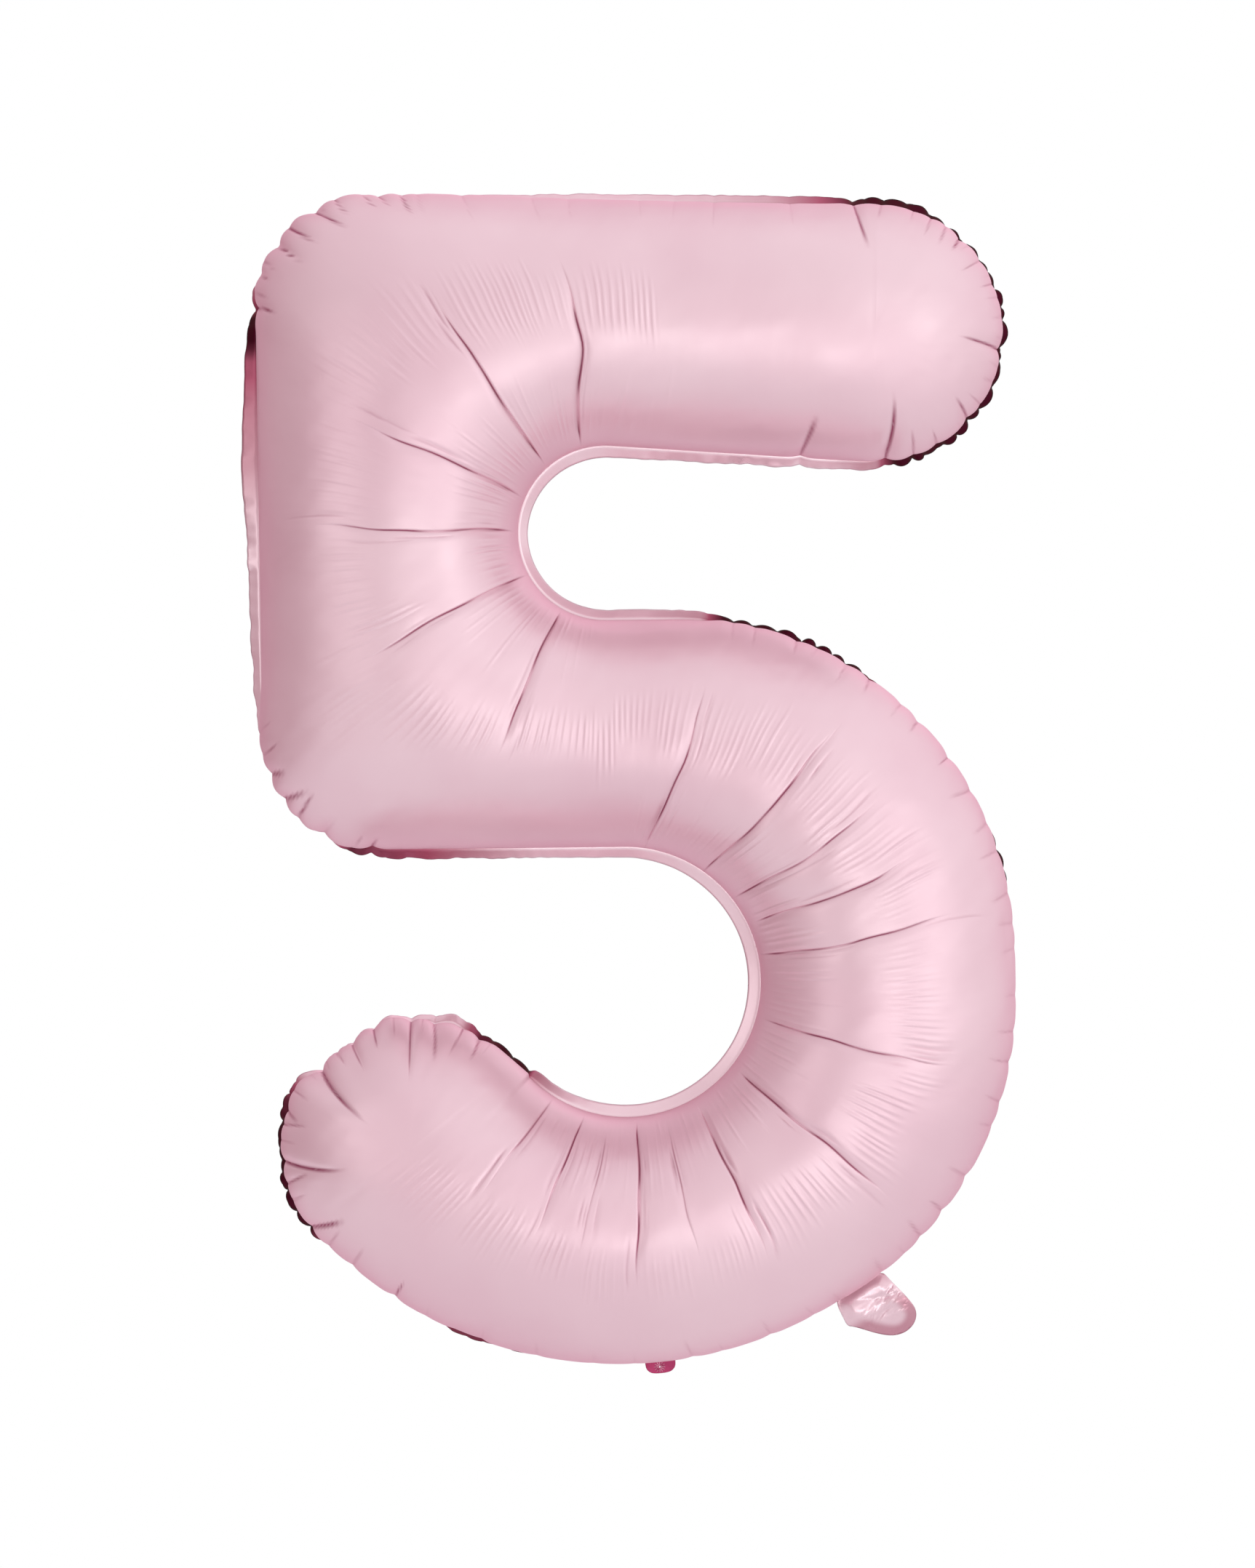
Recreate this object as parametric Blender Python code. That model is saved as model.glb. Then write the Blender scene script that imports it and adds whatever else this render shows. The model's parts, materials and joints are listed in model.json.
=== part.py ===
"""Foil number balloon, digit 5, inflated.

Two cut sheets of foil film are welded to each other along the outline of the digit, which leaves a
flat weld margin all round. A filling tail and a ribbon tab stand out of that margin, and a valve of
two thin films lies flat inside the envelope behind the tail.

Frame: the weld lies in the X-Z plane at Y = 0, the digit reads from -Y, Z is up, and the origin is
the centre of the hole in the ribbon tab. Metres.
"""

import math
from collections import Counter, defaultdict

import bmesh
import bpy
import numpy as np

# ---------------------------------------------------------------- driving dimensions
FILM = 0.0004  # film thickness as modelled; the real film is about 0.05 mm
VALVE_FILM = 0.0003
GAP = 0.0003  # clearance between pieces that touch
MARGIN = 0.010  # weld margin where it stands out flat
CURLED_MARGIN = 0.004  # what is left of it round a convex edge, where it curls up
CURL_BLEND = 0.010  # half the length over which the margin goes from flat to curled
FLAT_RUN = 0.100  # a straight run at least this long has its margin flat

TAIL_WIDTH = 0.042
TAIL_LENGTH = 0.046
TAIL_END_RADIUS = 0.014
TAIL_ANGLE = math.radians(-56.5)  # direction of the tail, from the centre of the bowl's corner

TAB_WIDTH = 0.022
TAB_DROP = 0.006  # from the hole's centre to the tab's lower edge
TAB_END_RADIUS = 0.005
RIBBON_HOLE_RADIUS = 0.002

FOLD_SETBACK = 0.0009  # from the weld line out to the fold line of the tail or the tab
ROOT_SETBACK = 0.0015  # from the weld line out to where the tail or the tab begins

VALVE_WIDTH_MOUTH = 0.036
VALVE_WIDTH_INNER = 0.030
VALVE_LENGTH = 0.076
VALVE_SETBACK = 0.0012  # from the weld line in to the valve's mouth

# The weld line is a belt round nine circles, taken clockwise as seen from the front: x, z, radius.
# A negative radius is a circle that the belt bends round from its other side.
TOP_LEFT_CORNER = (-0.214, 0.775, 0.082)
BAR_END = (0.155, 0.757, 0.094)
UPPER_NOTCH = (-0.040, 0.611, -0.064)
BOWL_SHOULDER = (0.011, 0.301, 0.2465)
BOWL_CORNER = (0.010, 0.268, 0.248)
BOWL_BOTTOM = (-0.030, 0.305, 0.300)
LOWER_END = (-0.182, 0.163, 0.094)
LOWER_NOTCH = (-0.025, 0.282, -0.099)
BODY_CORNER = (-0.205, 0.465, 0.086)
BELT = (
    TOP_LEFT_CORNER,
    BAR_END,
    UPPER_NOTCH,
    BOWL_SHOULDER,
    BOWL_CORNER,
    BOWL_BOTTOM,
    LOWER_END,
    LOWER_NOTCH,
    BODY_CORNER,
)

# Mesh density
BELT_STEP = math.radians(2.0)
RUN_STEP = 0.006
CHORDS = 66
QUADS_ACROSS = 14
CAP_SECTORS = 12
SOLVER_TOLERANCE = 1e-10

# Colours, linear
PINK = (0.78, 0.50, 0.60, 1.0)
PINK_BACK = (0.74, 0.45, 0.56, 1.0)
CLEAR_FILM = (0.80, 0.78, 0.80, 1.0)


# ---------------------------------------------------------------- outline
def centre_of(circle):
    return np.array(circle[:2])


def unit(angle):
    return np.array((math.cos(angle), math.sin(angle)))


def belt_normal(first, second):
    """Angle of the outward normal of the straight run from one circle of the belt to the next."""
    span = centre_of(second) - centre_of(first)
    lean = math.acos((first[2] - second[2]) / np.hypot(*span))
    return math.atan2(span[1], span[0]) + lean


def belt_outline():
    """Points of the weld line, clockwise, and for each point whether the margin curls up there.

    It curls on the convex circles and on the short runs between them. It stands out flat along the
    long straight edges, and it is stretched flat inside the notches.
    """
    points, curls = [], []
    for index, circle in enumerate(BELT):
        following = BELT[(index + 1) % len(BELT)]
        start = belt_normal(BELT[index - 1], circle)
        end = belt_normal(circle, following)
        turn = (start - end) % (2 * math.pi)
        if circle[2] < 0:
            turn -= 2 * math.pi
        steps = max(2, math.ceil(abs(turn) / BELT_STEP))
        for step in range(steps + 1):
            points.append(centre_of(circle) + circle[2] * unit(start - turn * step / steps))
            curls.append(circle[2] > 0)
        run = centre_of(following) + following[2] * unit(end) - points[-1]
        length = np.hypot(*run)
        first = points[-1]
        for fraction in np.arange(1, length // RUN_STEP) * RUN_STEP / length:
            points.append(first + fraction * run)
            curls.append(length < FLAT_RUN and circle[2] > 0 and following[2] > 0)
    return np.array(points), np.array(curls, dtype=float)


OUTLINE, OUTLINE_CURLS = belt_outline()


def crossings(start, heading):
    """Distances at which a ray from start crosses the weld line, nearest first."""
    ends = np.roll(OUTLINE, -1, axis=0)
    runs = ends - OUTLINE
    away = OUTLINE - start
    cross = heading[0] * runs[:, 1] - heading[1] * runs[:, 0]
    safe = np.where(np.abs(cross) < 1e-12, 1e-12, cross)
    distance = (away[:, 0] * runs[:, 1] - away[:, 1] * runs[:, 0]) / safe
    along = (away[:, 0] * heading[1] - away[:, 1] * heading[0]) / safe
    hit = (along >= 0) & (along < 1) & (distance > 1e-6)
    return np.sort(distance[hit])


def chord(start, heading, swapped=False):
    """The two ends of the stretch of a ray that lies inside the digit."""
    near, far = crossings(start, heading)[:2]
    ends = (start + near * heading, start + far * heading)
    return ends[::-1] if swapped else ends


# ---------------------------------------------------------------- flat mesh of the digit
def chord_rays():
    """Rays across the stroke of the digit, from the end of the top bar to the lower end.

    The chords are parallel along the bar and fan out round the two notches.
    """
    upper, lower = centre_of(UPPER_NOTCH), centre_of(LOWER_NOTCH)
    rays = []
    for x in np.linspace(BAR_END[0], upper[0], 60, endpoint=False):
        rays.append((np.array((x, upper[1])), math.pi / 2, False))
    for angle in np.linspace(math.pi / 2, 3 * math.pi / 2, 180, endpoint=False):
        rays.append((upper, angle, False))
    for x in np.linspace(upper[0], lower[0], 6, endpoint=False):
        rays.append((np.array((x, upper[1])), -math.pi / 2, False))
    reach = centre_of(LOWER_END) - lower
    last = math.atan2(reach[1], reach[0])
    for angle in np.linspace(math.pi / 2, last, 240):
        rays.append((lower, angle, True))
    return rays


def kept_chords(corners):
    """CHORDS of the rays, spread evenly by the lengths and turns they span, with each corner hit."""
    rays = chord_rays()
    ends = [chord(start, unit(angle), swapped) for start, angle, swapped in rays]
    pairs = np.array(ends)
    steps = np.linalg.norm(np.diff(pairs, axis=0), axis=2).max(axis=1)
    fan = np.abs(np.diff([angle for _, angle, _ in rays])) % math.pi
    measure = np.concatenate(((0,), np.cumsum(steps + 0.06 * np.minimum(fan, 0.2))))
    wanted = np.linspace(0, measure[-1], CHORDS)
    picked = [int(np.abs(measure - value).argmin()) for value in wanted]
    chords = [ends[index] for index in picked]
    lower = centre_of(LOWER_NOTCH)
    for corner in corners:
        outer = np.array([pair[0] for pair in chords])
        nearest = int(np.linalg.norm(outer - corner, axis=1).argmin())
        away = corner - lower
        chords[nearest] = chord(lower, away / np.hypot(*away), True)
    return chords


def digit_mesh(corners):
    """Points and quads of the digit: a ladder of chords with a half disc closing each end."""
    chords = kept_chords(corners)
    # Rows crowd towards the weld, where the inflated film turns steepest.
    across = (1 - np.cos(np.linspace(0, math.pi, QUADS_ACROSS + 1))) / 2
    points = [first + t * (second - first) for first, second in chords for t in across]
    width = QUADS_ACROSS + 1
    quads = []
    for row in range(len(chords) - 1):
        for column in range(QUADS_ACROSS):
            corner = row * width + column
            quads.append((corner, corner + 1, corner + width + 1, corner + width))
    for row, sign in ((0, -1), (len(chords) - 1, 1)):
        close_end(points, quads, chords[row], row * width, across, sign)
    return np.array(points), quads


def close_end(points, quads, ends, first, across, sign):
    """Half disc beyond the chord that starts at point index first, on the left or right of it."""
    middle = (ends[0] + ends[1]) / 2
    away = ends[0] - middle
    start = math.atan2(away[1], away[0])
    rings = QUADS_ACROSS // 2
    last = first + QUADS_ACROSS
    grid = [[first + ring for ring in range(rings)] + [first + rings]]
    for sector in range(1, CAP_SECTORS):
        heading = unit(start - sign * math.pi * sector / CAP_SECTORS)
        reach = crossings(middle, heading)[0]
        line = []
        for ring in range(rings):
            line.append(len(points))
            points.append(middle + heading * reach * (1 - 2 * across[ring]))
        grid.append(line + [first + rings])
    grid.append([last - ring for ring in range(rings)] + [first + rings])
    for near, far in zip(grid, grid[1:]):
        for ring in range(rings):
            face = [near[ring], near[ring + 1], far[ring + 1], far[ring]]
            quads.append(tuple(dict.fromkeys(face)))


def halved(quads):
    """The triangles of a list of quads and triangles."""
    triangles = []
    for face in quads:
        for corner in range(1, len(face) - 1):
            triangles.append((face[0], face[corner], face[corner + 1]))
    return np.array(triangles)


def inflated_height(points, quads):
    """Half depth of the inflated envelope at each point of the flat mesh.

    The square of the half depth has the constant Laplacian -2 and is zero on the weld, so a
    straight stroke gets a round section and its ends close like the ends of a sausage. The
    equation is solved with linear elements by conjugate gradients.
    """
    triangles = halved(quads)
    count = len(points)
    corner = points[triangles]
    ab, ac = corner[:, 1] - corner[:, 0], corner[:, 2] - corner[:, 0]
    area = np.abs(ab[:, 0] * ac[:, 1] - ab[:, 1] * ac[:, 0]) / 2
    load = np.zeros(count)
    starts, ends, weights = [], [], []
    for turn in range(3):
        here, following, opposite = (triangles[:, (turn + shift) % 3] for shift in range(3))
        np.add.at(load, here, 2 * area / 3)
        first, second = points[here] - points[opposite], points[following] - points[opposite]
        starts.append(here)
        ends.append(following)
        weights.append((first * second).sum(axis=1) / (4 * area))
    starts, ends, weights = map(np.concatenate, (starts, ends, weights))
    inside = np.ones(count)
    inside[list(rim_points(quads))] = 0

    def stiffness(values):
        flow = weights * (values[starts] - values[ends])
        total = np.bincount(starts, flow, count) - np.bincount(ends, flow, count)
        return total * inside

    solution = np.zeros(count)
    left = load * inside
    search = left.copy()
    power = left @ left
    target = power * SOLVER_TOLERANCE**2
    while power > target:
        spread = stiffness(search)
        step = power / (search @ spread)
        solution += step * search
        left -= step * spread
        fresh = left @ left
        search = left + (fresh / power) * search
        power = fresh
    return np.sqrt(np.maximum(solution, 0))


def rim_points(quads):
    """Indices of the points on the weld line: the ends of edges that only one face has."""
    uses = Counter()
    for face in quads:
        uses.update(frozenset(pair) for pair in zip(face, face[1:] + face[:1]))
    return {index for edge, count in uses.items() if count == 1 for index in edge}


# ---------------------------------------------------------------- places on the weld line
def weld_place(circle, angle):
    """Point, outward direction and direction along the weld where a circle of the belt has angle."""
    outward = unit(angle)
    along = np.array((-outward[1], outward[0]))
    return centre_of(circle) + circle[2] * outward, outward, along


TAIL_PLACE = weld_place(BOWL_CORNER, TAIL_ANGLE)
# The tab stands out of the weld along the line from the arc's centre through the ribbon hole.
TAB_PLACE = weld_place(BOWL_BOTTOM, math.atan2(-BOWL_BOTTOM[1], -BOWL_BOTTOM[0]))
HOLE_FROM_WELD = math.hypot(BOWL_BOTTOM[0], BOWL_BOTTOM[1]) - BOWL_BOTTOM[2]


def cut_corners(place, width):
    point, _, along = place
    return [point - along * width / 2, point + along * width / 2]


def in_cut(point, place, width):
    middle, outward, along = place
    away = point - middle
    return abs(away @ along) < width / 2 and abs(away @ outward) < MARGIN


# ---------------------------------------------------------------- materials and objects
def material(name, colour, roughness, metallic):
    made = bpy.data.materials.new(name)
    made.use_nodes = True
    shader = made.node_tree.nodes["Principled BSDF"]
    shader.inputs["Base Color"].default_value = colour
    shader.inputs["Roughness"].default_value = roughness
    shader.inputs["Metallic"].default_value = metallic
    made.diffuse_color = colour
    return made


def clear_scene():
    for old in list(bpy.data.objects):
        bpy.data.objects.remove(old, do_unlink=True)


def object_from(name, bm, look, parent=None, smooth=False):
    mesh = bpy.data.meshes.new(name)
    bmesh.ops.recalc_face_normals(bm, faces=bm.faces)
    bm.to_mesh(mesh)
    bm.free()
    mesh.materials.append(look)
    if smooth:
        mesh.shade_smooth()
        mesh.set_sharp_from_angle(angle=math.radians(40))
    made = bpy.data.objects.new(name, mesh)
    bpy.context.collection.objects.link(made)
    made.parent = parent
    return made


def fold_line(name, place, offset, depth=0.0):
    """Empty on a fold line: its X runs along the weld and its Z points into the envelope."""
    point, outward, along = place
    spot = point + outward * offset
    made = bpy.data.objects.new(name, None)
    made.empty_display_size = 0.02
    made.location = (spot[0], depth, spot[1])
    made.rotation_euler = (0, -math.atan2(along[1], along[0]), 0)
    bpy.context.collection.objects.link(made)
    return made


# ---------------------------------------------------------------- envelope
def panel(name, side, points, quads, heights, look):
    """Half of the envelope with its ply of the weld margin. side is -1 in front and 1 behind."""
    bm = bmesh.new()
    level = GAP / 2 + FILM
    corners = []
    for (x, z), height in zip(points, heights):
        corners.append(bm.verts.new((x, side * (level + height), z)))
    for face in quads:
        bm.faces.new([corners[index] for index in face])

    rim = [edge for edge in bm.edges if edge.is_boundary]
    outward = defaultdict(lambda: np.zeros(2))
    for edge in rim:
        first, second = (flat(vert.co) for vert in edge.verts)
        normal = np.array((second[1] - first[1], first[0] - second[0]))
        inner = flat(edge.link_faces[0].calc_center_median())
        normal *= np.sign(normal @ (first - inner))
        for vert in edge.verts:
            outward[vert] += normal

    places = ((TAIL_PLACE, TAIL_WIDTH), (TAB_PLACE, TAB_WIDTH))
    kept = []
    for edge in rim:
        middle = (flat(edge.verts[0].co) + flat(edge.verts[1].co)) / 2
        if not any(in_cut(middle, place, width) for place, width in places):
            kept.append(edge)
    shifts = {}
    for vert, normal in outward.items():
        shifts[tuple(vert.co)] = normal / np.hypot(*normal) * margin_width(flat(vert.co))
    for part in bmesh.ops.extrude_edge_only(bm, edges=kept)["geom"]:
        if isinstance(part, bmesh.types.BMVert):
            shift = shifts[tuple(part.co)]
            part.co.x += shift[0]
            part.co.z += shift[1]
    made = object_from(name, bm, look, smooth=True)
    if (made.data.polygons[0].normal.y > 0) != (side > 0):
        made.data.flip_normals()
    shell = made.modifiers.new("film_thickness", "SOLIDIFY")
    shell.thickness = FILM
    shell.offset = -1
    shell.use_even_offset = True
    return made


def flat(position):
    return np.array((position[0], position[2]))


def margin_width(spot):
    """Width of the margin: full where the weld is straight or hollow, less round a convex bend."""
    away = np.linalg.norm(OUTLINE - spot, axis=1)
    near = away < away.min() + 2 * CURL_BLEND
    closeness = 1 - (away[near] - away.min()) / (2 * CURL_BLEND)
    curled = OUTLINE_CURLS[near] @ closeness / closeness.sum()
    return MARGIN + (CURLED_MARGIN - MARGIN) * curled


# ---------------------------------------------------------------- flat pieces
def strip_outline(half_root, half_end, start, end, radius, steps=6):
    """Flat strip from start to end with its two far corners rounded."""
    points = [(half_root, start)]
    for sign in (1, -1):
        turns = np.linspace(0, math.pi / 2, steps)
        for turn in turns if sign > 0 else turns[::-1]:
            across = half_end - radius + radius * math.cos(turn)
            along = end - radius + radius * math.sin(turn)
            points.append((sign * across, along))
    points.append((-half_root, start))
    return points


def flat_plate(bm, outline, low, high):
    """Plate of the outline (across, outwards) between two depths, in a fold line's own axes."""
    base = bm.faces.new([bm.verts.new((across, low, -out)) for across, out in outline])
    grown = bmesh.ops.extrude_face_region(bm, geom=[base])["geom"]
    top = [part for part in grown if isinstance(part, bmesh.types.BMVert)]
    bmesh.ops.translate(bm, vec=(0, high - low, 0), verts=top)


def tail_ply(name, side, fold, look):
    start = ROOT_SETBACK - FOLD_SETBACK
    half = TAIL_WIDTH / 2 - GAP
    outline = strip_outline(half, half, start, TAIL_LENGTH - FOLD_SETBACK, TAIL_END_RADIUS)
    bm = bmesh.new()
    flat_plate(bm, outline, *sorted((side * GAP / 2, side * (GAP / 2 + FILM))))
    return object_from(name, bm, look, fold)


def valve_film(name, side, fold, look):
    half_mouth, half_inner = VALVE_WIDTH_MOUTH / 2, VALVE_WIDTH_INNER / 2
    outline = [
        (half_mouth, 0.0),
        (half_inner, -VALVE_LENGTH),
        (-half_inner, -VALVE_LENGTH),
        (-half_mouth, 0.0),
    ]
    low, high = sorted((side * GAP / 2, side * (GAP / 2 + VALVE_FILM)))
    bm = bmesh.new()
    flat_plate(bm, outline, low - fold.location.y, high - fold.location.y)
    return object_from(name, bm, look, fold)


def ribbon_tab(name, fold, look):
    """Both plies fused into one tongue, with the ribbon's hole punched through it."""
    start = ROOT_SETBACK - FOLD_SETBACK
    half = TAB_WIDTH / 2 - GAP
    hole_out = HOLE_FROM_WELD - FOLD_SETBACK
    outline = strip_outline(half, half, start, hole_out + TAB_DROP, TAB_END_RADIUS)
    bm = bmesh.new()
    flat_plate(bm, outline, -FILM, FILM)
    made = object_from(name, bm, look, fold)
    punch = bmesh.new()
    bmesh.ops.create_cone(
        punch,
        cap_ends=True,
        segments=20,
        radius1=RIBBON_HOLE_RADIUS,
        radius2=RIBBON_HOLE_RADIUS,
        depth=8 * FILM,
    )
    cutter = object_from("ribbon_hole_punch", punch, look, fold)
    cutter.rotation_euler = (math.pi / 2, 0, 0)
    cutter.location = (0, 0, -hole_out)
    cutter.hide_render = True
    cutter.display_type = "WIRE"
    hole = made.modifiers.new("ribbon_hole", "BOOLEAN")
    hole.operation = "DIFFERENCE"
    hole.object = cutter
    return made


# ---------------------------------------------------------------- assembly
def build():
    clear_scene()
    foil = material("pink_foil", PINK, 0.35, 0.6)
    foil_back = material("pink_foil_back", PINK_BACK, 0.35, 0.6)
    inner_film = material("clear_valve_film", CLEAR_FILM, 0.3, 0.0)

    corners = cut_corners(TAIL_PLACE, TAIL_WIDTH) + cut_corners(TAB_PLACE, TAB_WIDTH)
    points, quads = digit_mesh(corners)
    heights = inflated_height(points, quads)
    panel("front_panel", -1, points, quads, heights, foil)
    panel("back_panel", 1, points, quads, heights, foil_back)

    tail_fold = fold_line("tail_fold_line", TAIL_PLACE, FOLD_SETBACK)
    tail_ply("tail_front_ply", -1, tail_fold, foil)
    tail_ply("tail_back_ply", 1, tail_fold, foil_back)

    valve_depth = (GAP + VALVE_FILM) / 2
    front_root = fold_line("valve_front_root", TAIL_PLACE, -VALVE_SETBACK, -valve_depth)
    back_root = fold_line("valve_back_root", TAIL_PLACE, -VALVE_SETBACK, valve_depth)
    valve_film("valve_front_film", -1, front_root, inner_film)
    valve_film("valve_back_film", 1, back_root, inner_film)

    tab_fold = fold_line("tab_fold_line", TAB_PLACE, FOLD_SETBACK)
    ribbon_tab("ribbon_tab", tab_fold, foil)


build()
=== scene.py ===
"""Looks of the foil number balloon: satin pink film with its creases, puckers and welded margin.

Front is -Y and up is +Z. The film is laid out in two coordinates: s runs along the middle of the
digit's stroke, from the end of the top bar to the lower end, and t runs across it, from 0 on the
left-hand weld to 1 on the right-hand weld as the stroke is followed.
"""

import json
import math

import bpy
import numpy as np
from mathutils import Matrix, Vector
from mathutils.geometry import delaunay_2d_cdt

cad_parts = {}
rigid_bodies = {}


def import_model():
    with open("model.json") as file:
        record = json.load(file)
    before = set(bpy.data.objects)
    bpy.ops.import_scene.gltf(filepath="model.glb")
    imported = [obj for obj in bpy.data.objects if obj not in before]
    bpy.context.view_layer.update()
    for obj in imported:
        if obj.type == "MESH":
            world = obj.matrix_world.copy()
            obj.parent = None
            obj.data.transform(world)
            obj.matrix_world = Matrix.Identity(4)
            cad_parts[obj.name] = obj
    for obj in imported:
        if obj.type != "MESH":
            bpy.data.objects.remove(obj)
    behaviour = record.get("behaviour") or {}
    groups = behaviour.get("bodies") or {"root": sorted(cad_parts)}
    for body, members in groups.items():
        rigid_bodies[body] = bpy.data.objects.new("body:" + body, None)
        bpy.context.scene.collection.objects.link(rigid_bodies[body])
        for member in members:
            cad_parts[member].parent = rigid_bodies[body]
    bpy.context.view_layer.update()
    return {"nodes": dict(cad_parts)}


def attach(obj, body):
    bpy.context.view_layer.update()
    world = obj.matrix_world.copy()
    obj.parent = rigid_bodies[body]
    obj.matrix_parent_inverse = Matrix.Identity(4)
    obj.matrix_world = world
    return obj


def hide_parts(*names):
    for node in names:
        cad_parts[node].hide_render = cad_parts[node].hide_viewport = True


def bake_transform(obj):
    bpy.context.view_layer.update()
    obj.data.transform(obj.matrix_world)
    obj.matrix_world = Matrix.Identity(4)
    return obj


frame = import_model()

# ---------------------------------------------------------------- the weld line, as in the CAD
# A belt round nine circles, clockwise from the front: x, z and radius in metres from the ribbon
# hole. A negative radius is a circle that the belt bends round from its other side.
TOP_LEFT_CORNER = (-0.214, 0.775, 0.082)
BAR_END = (0.155, 0.757, 0.094)
UPPER_NOTCH = (-0.040, 0.611, -0.064)
BOWL_SHOULDER = (0.011, 0.301, 0.2465)
BOWL_CORNER = (0.010, 0.268, 0.248)
BOWL_BOTTOM = (-0.030, 0.305, 0.300)
LOWER_END = (-0.182, 0.163, 0.094)
LOWER_NOTCH = (-0.025, 0.282, -0.099)
BODY_CORNER = (-0.205, 0.465, 0.086)
BELT = (
    TOP_LEFT_CORNER,
    BAR_END,
    UPPER_NOTCH,
    BOWL_SHOULDER,
    BOWL_CORNER,
    BOWL_BOTTOM,
    LOWER_END,
    LOWER_NOTCH,
    BODY_CORNER,
)
BELT_STEP = math.radians(0.35)
RUN_STEP = 0.0015
FILM_LEVEL = 0.0003  # from the weld plane to the rim of each film

# ---------------------------------------------------------------- density
QUADS_ACROSS = 54
FRONT_ROW_STEP = 0.0010
FRONT_SECTORS = 230
BACK_ROW_STEP = 0.0014
BACK_SECTORS = 150
COARSE_STEP = 0.007
COARSE_SECTORS = 30
TABLE_STATIONS = 2600

# ---------------------------------------------------------------- creases
# Long creases fan out of the two notches. Each is: the direction of its inner end, its middle and
# its outer end, in degrees from the notch's centre; where it starts and ends as shares of the
# stroke's width; and its strength.
UPPER_CREASES = (
    (106.0, 97.0, 99.3, 0.02, 0.72, 1.15),
    (132.0, 128.0, 125.0, 0.02, 0.62, 1.00),
    (157.6, 156.5, 157.1, 0.02, 0.66, 0.80),
    (180.0, 180.9, 179.7, 0.03, 0.78, 0.80),
    (209.1, 208.5, 208.5, 0.02, 0.64, 0.80),
    (240.9, 243.8, 244.8, 0.03, 0.62, 1.10),
)
LOWER_CREASES = (
    (82.0, 75.0, 75.6, 0.00, 0.73, 0.75),
    (55.1, 50.1, 51.3, 0.01, 0.76, 1.00),
    (38.2, 35.0, 36.0, 0.02, 0.68, 0.75),
    (25.7, 22.8, 24.5, 0.04, 0.70, 0.90),
    (12.0, 10.2, 12.6, 0.02, 0.78, 0.80),
    (-14.5, -15.4, -13.8, 0.04, 0.77, 0.85),
    (-37.6, -38.6, -38.7, 0.05, 0.80, 0.95),
    (-59.4, -60.8, -63.1, 0.04, 0.70, 1.10),
    (-73.6, -74.5, -75.5, 0.06, 0.60, 0.40),
    (-85.4, -86.7, -87.9, 0.03, 0.68, 1.00),
    (-97.0, -99.0, -100.9, 0.07, 0.54, 0.35),
    (-107.0, -109.7, -111.3, 0.03, 0.52, 0.80),
    (-122.0, -124.4, -126.4, 0.02, 0.46, 0.55),
)
CREASE_DEPTH = 0.0020  # the sharp fold itself, steep on one side and easy on the other
STEEP_WIDTH = 0.0014
EASY_WIDTH = 0.0075
WAVER = 0.0018  # how far a crease wanders from its straight line
PAINTED_FOLD_SHADE_WIDTH = 0.0009  # painted shade: the dark line at the bottom of a fold
VALLEY_DEPTH = 0.0015  # the wide hollow that it lies in
VALLEY_WIDTH = 0.028
RIPPLE_HEIGHT = 0.0015
RIPPLE_PITCH = 0.0050
GATHER_HEIGHT = 0.0010
GATHER_PITCH = 0.0095
GATHER_WIDTH = 0.0024
SIDE_FOLDS = 4  # short folds beside each crease
SIDE_FOLD_DEPTH = 0.0007
SIDE_FOLD_STEEP = 0.0013
SIDE_FOLD_EASY = 0.0042
SIDE_FOLD_PAINTED_SHADE = 450  # painted shade of its line, for each metre of its depth
SOFT_HEIGHT = 0.0007  # broad unevenness of the film
SOFT_WAVE = 0.11
FINE_HEIGHT = 0.00010
FINE_WAVE = 0.018
NOISE_OCTAVES = 2
NOISE_WAVES = 6
FRONT_SEED = 5
BACK_SEED = 11
PUCKER_SEED = 7
MARGIN_SEED = 31


def unit(angle):
    return np.stack((np.cos(angle), np.sin(angle)), axis=-1)


def centre_of(circle):
    return np.array(circle[:2])


def belt_normal(first, second):
    """Angle of the outward normal of the straight run from one circle of the belt to the next."""
    span = centre_of(second) - centre_of(first)
    lean = math.acos((first[2] - second[2]) / np.hypot(*span))
    return math.atan2(span[1], span[0]) + lean


def belt_outline():
    """Points of the weld line, clockwise."""
    points = []
    for index, circle in enumerate(BELT):
        following = BELT[(index + 1) % len(BELT)]
        start = belt_normal(BELT[index - 1], circle)
        end = belt_normal(circle, following)
        turn = (start - end) % (2 * math.pi)
        if circle[2] < 0:
            turn -= 2 * math.pi
        steps = max(2, math.ceil(abs(turn) / BELT_STEP))
        angles = start - turn * np.arange(steps + 1) / steps
        points.extend(centre_of(circle) + circle[2] * unit(angles))
        run = centre_of(following) + following[2] * unit(end) - points[-1]
        length = np.hypot(*run)
        first = points[-1]
        for fraction in np.arange(1, length // RUN_STEP) * RUN_STEP / length:
            points.append(first + fraction * run)
    return np.array(points)


OUTLINE = belt_outline()
OUTLINE_RUNS = np.roll(OUTLINE, -1, axis=0) - OUTLINE
OUTLINE_LENGTHS = np.concatenate(((0,), np.cumsum(np.linalg.norm(OUTLINE_RUNS, axis=1))))


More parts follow.
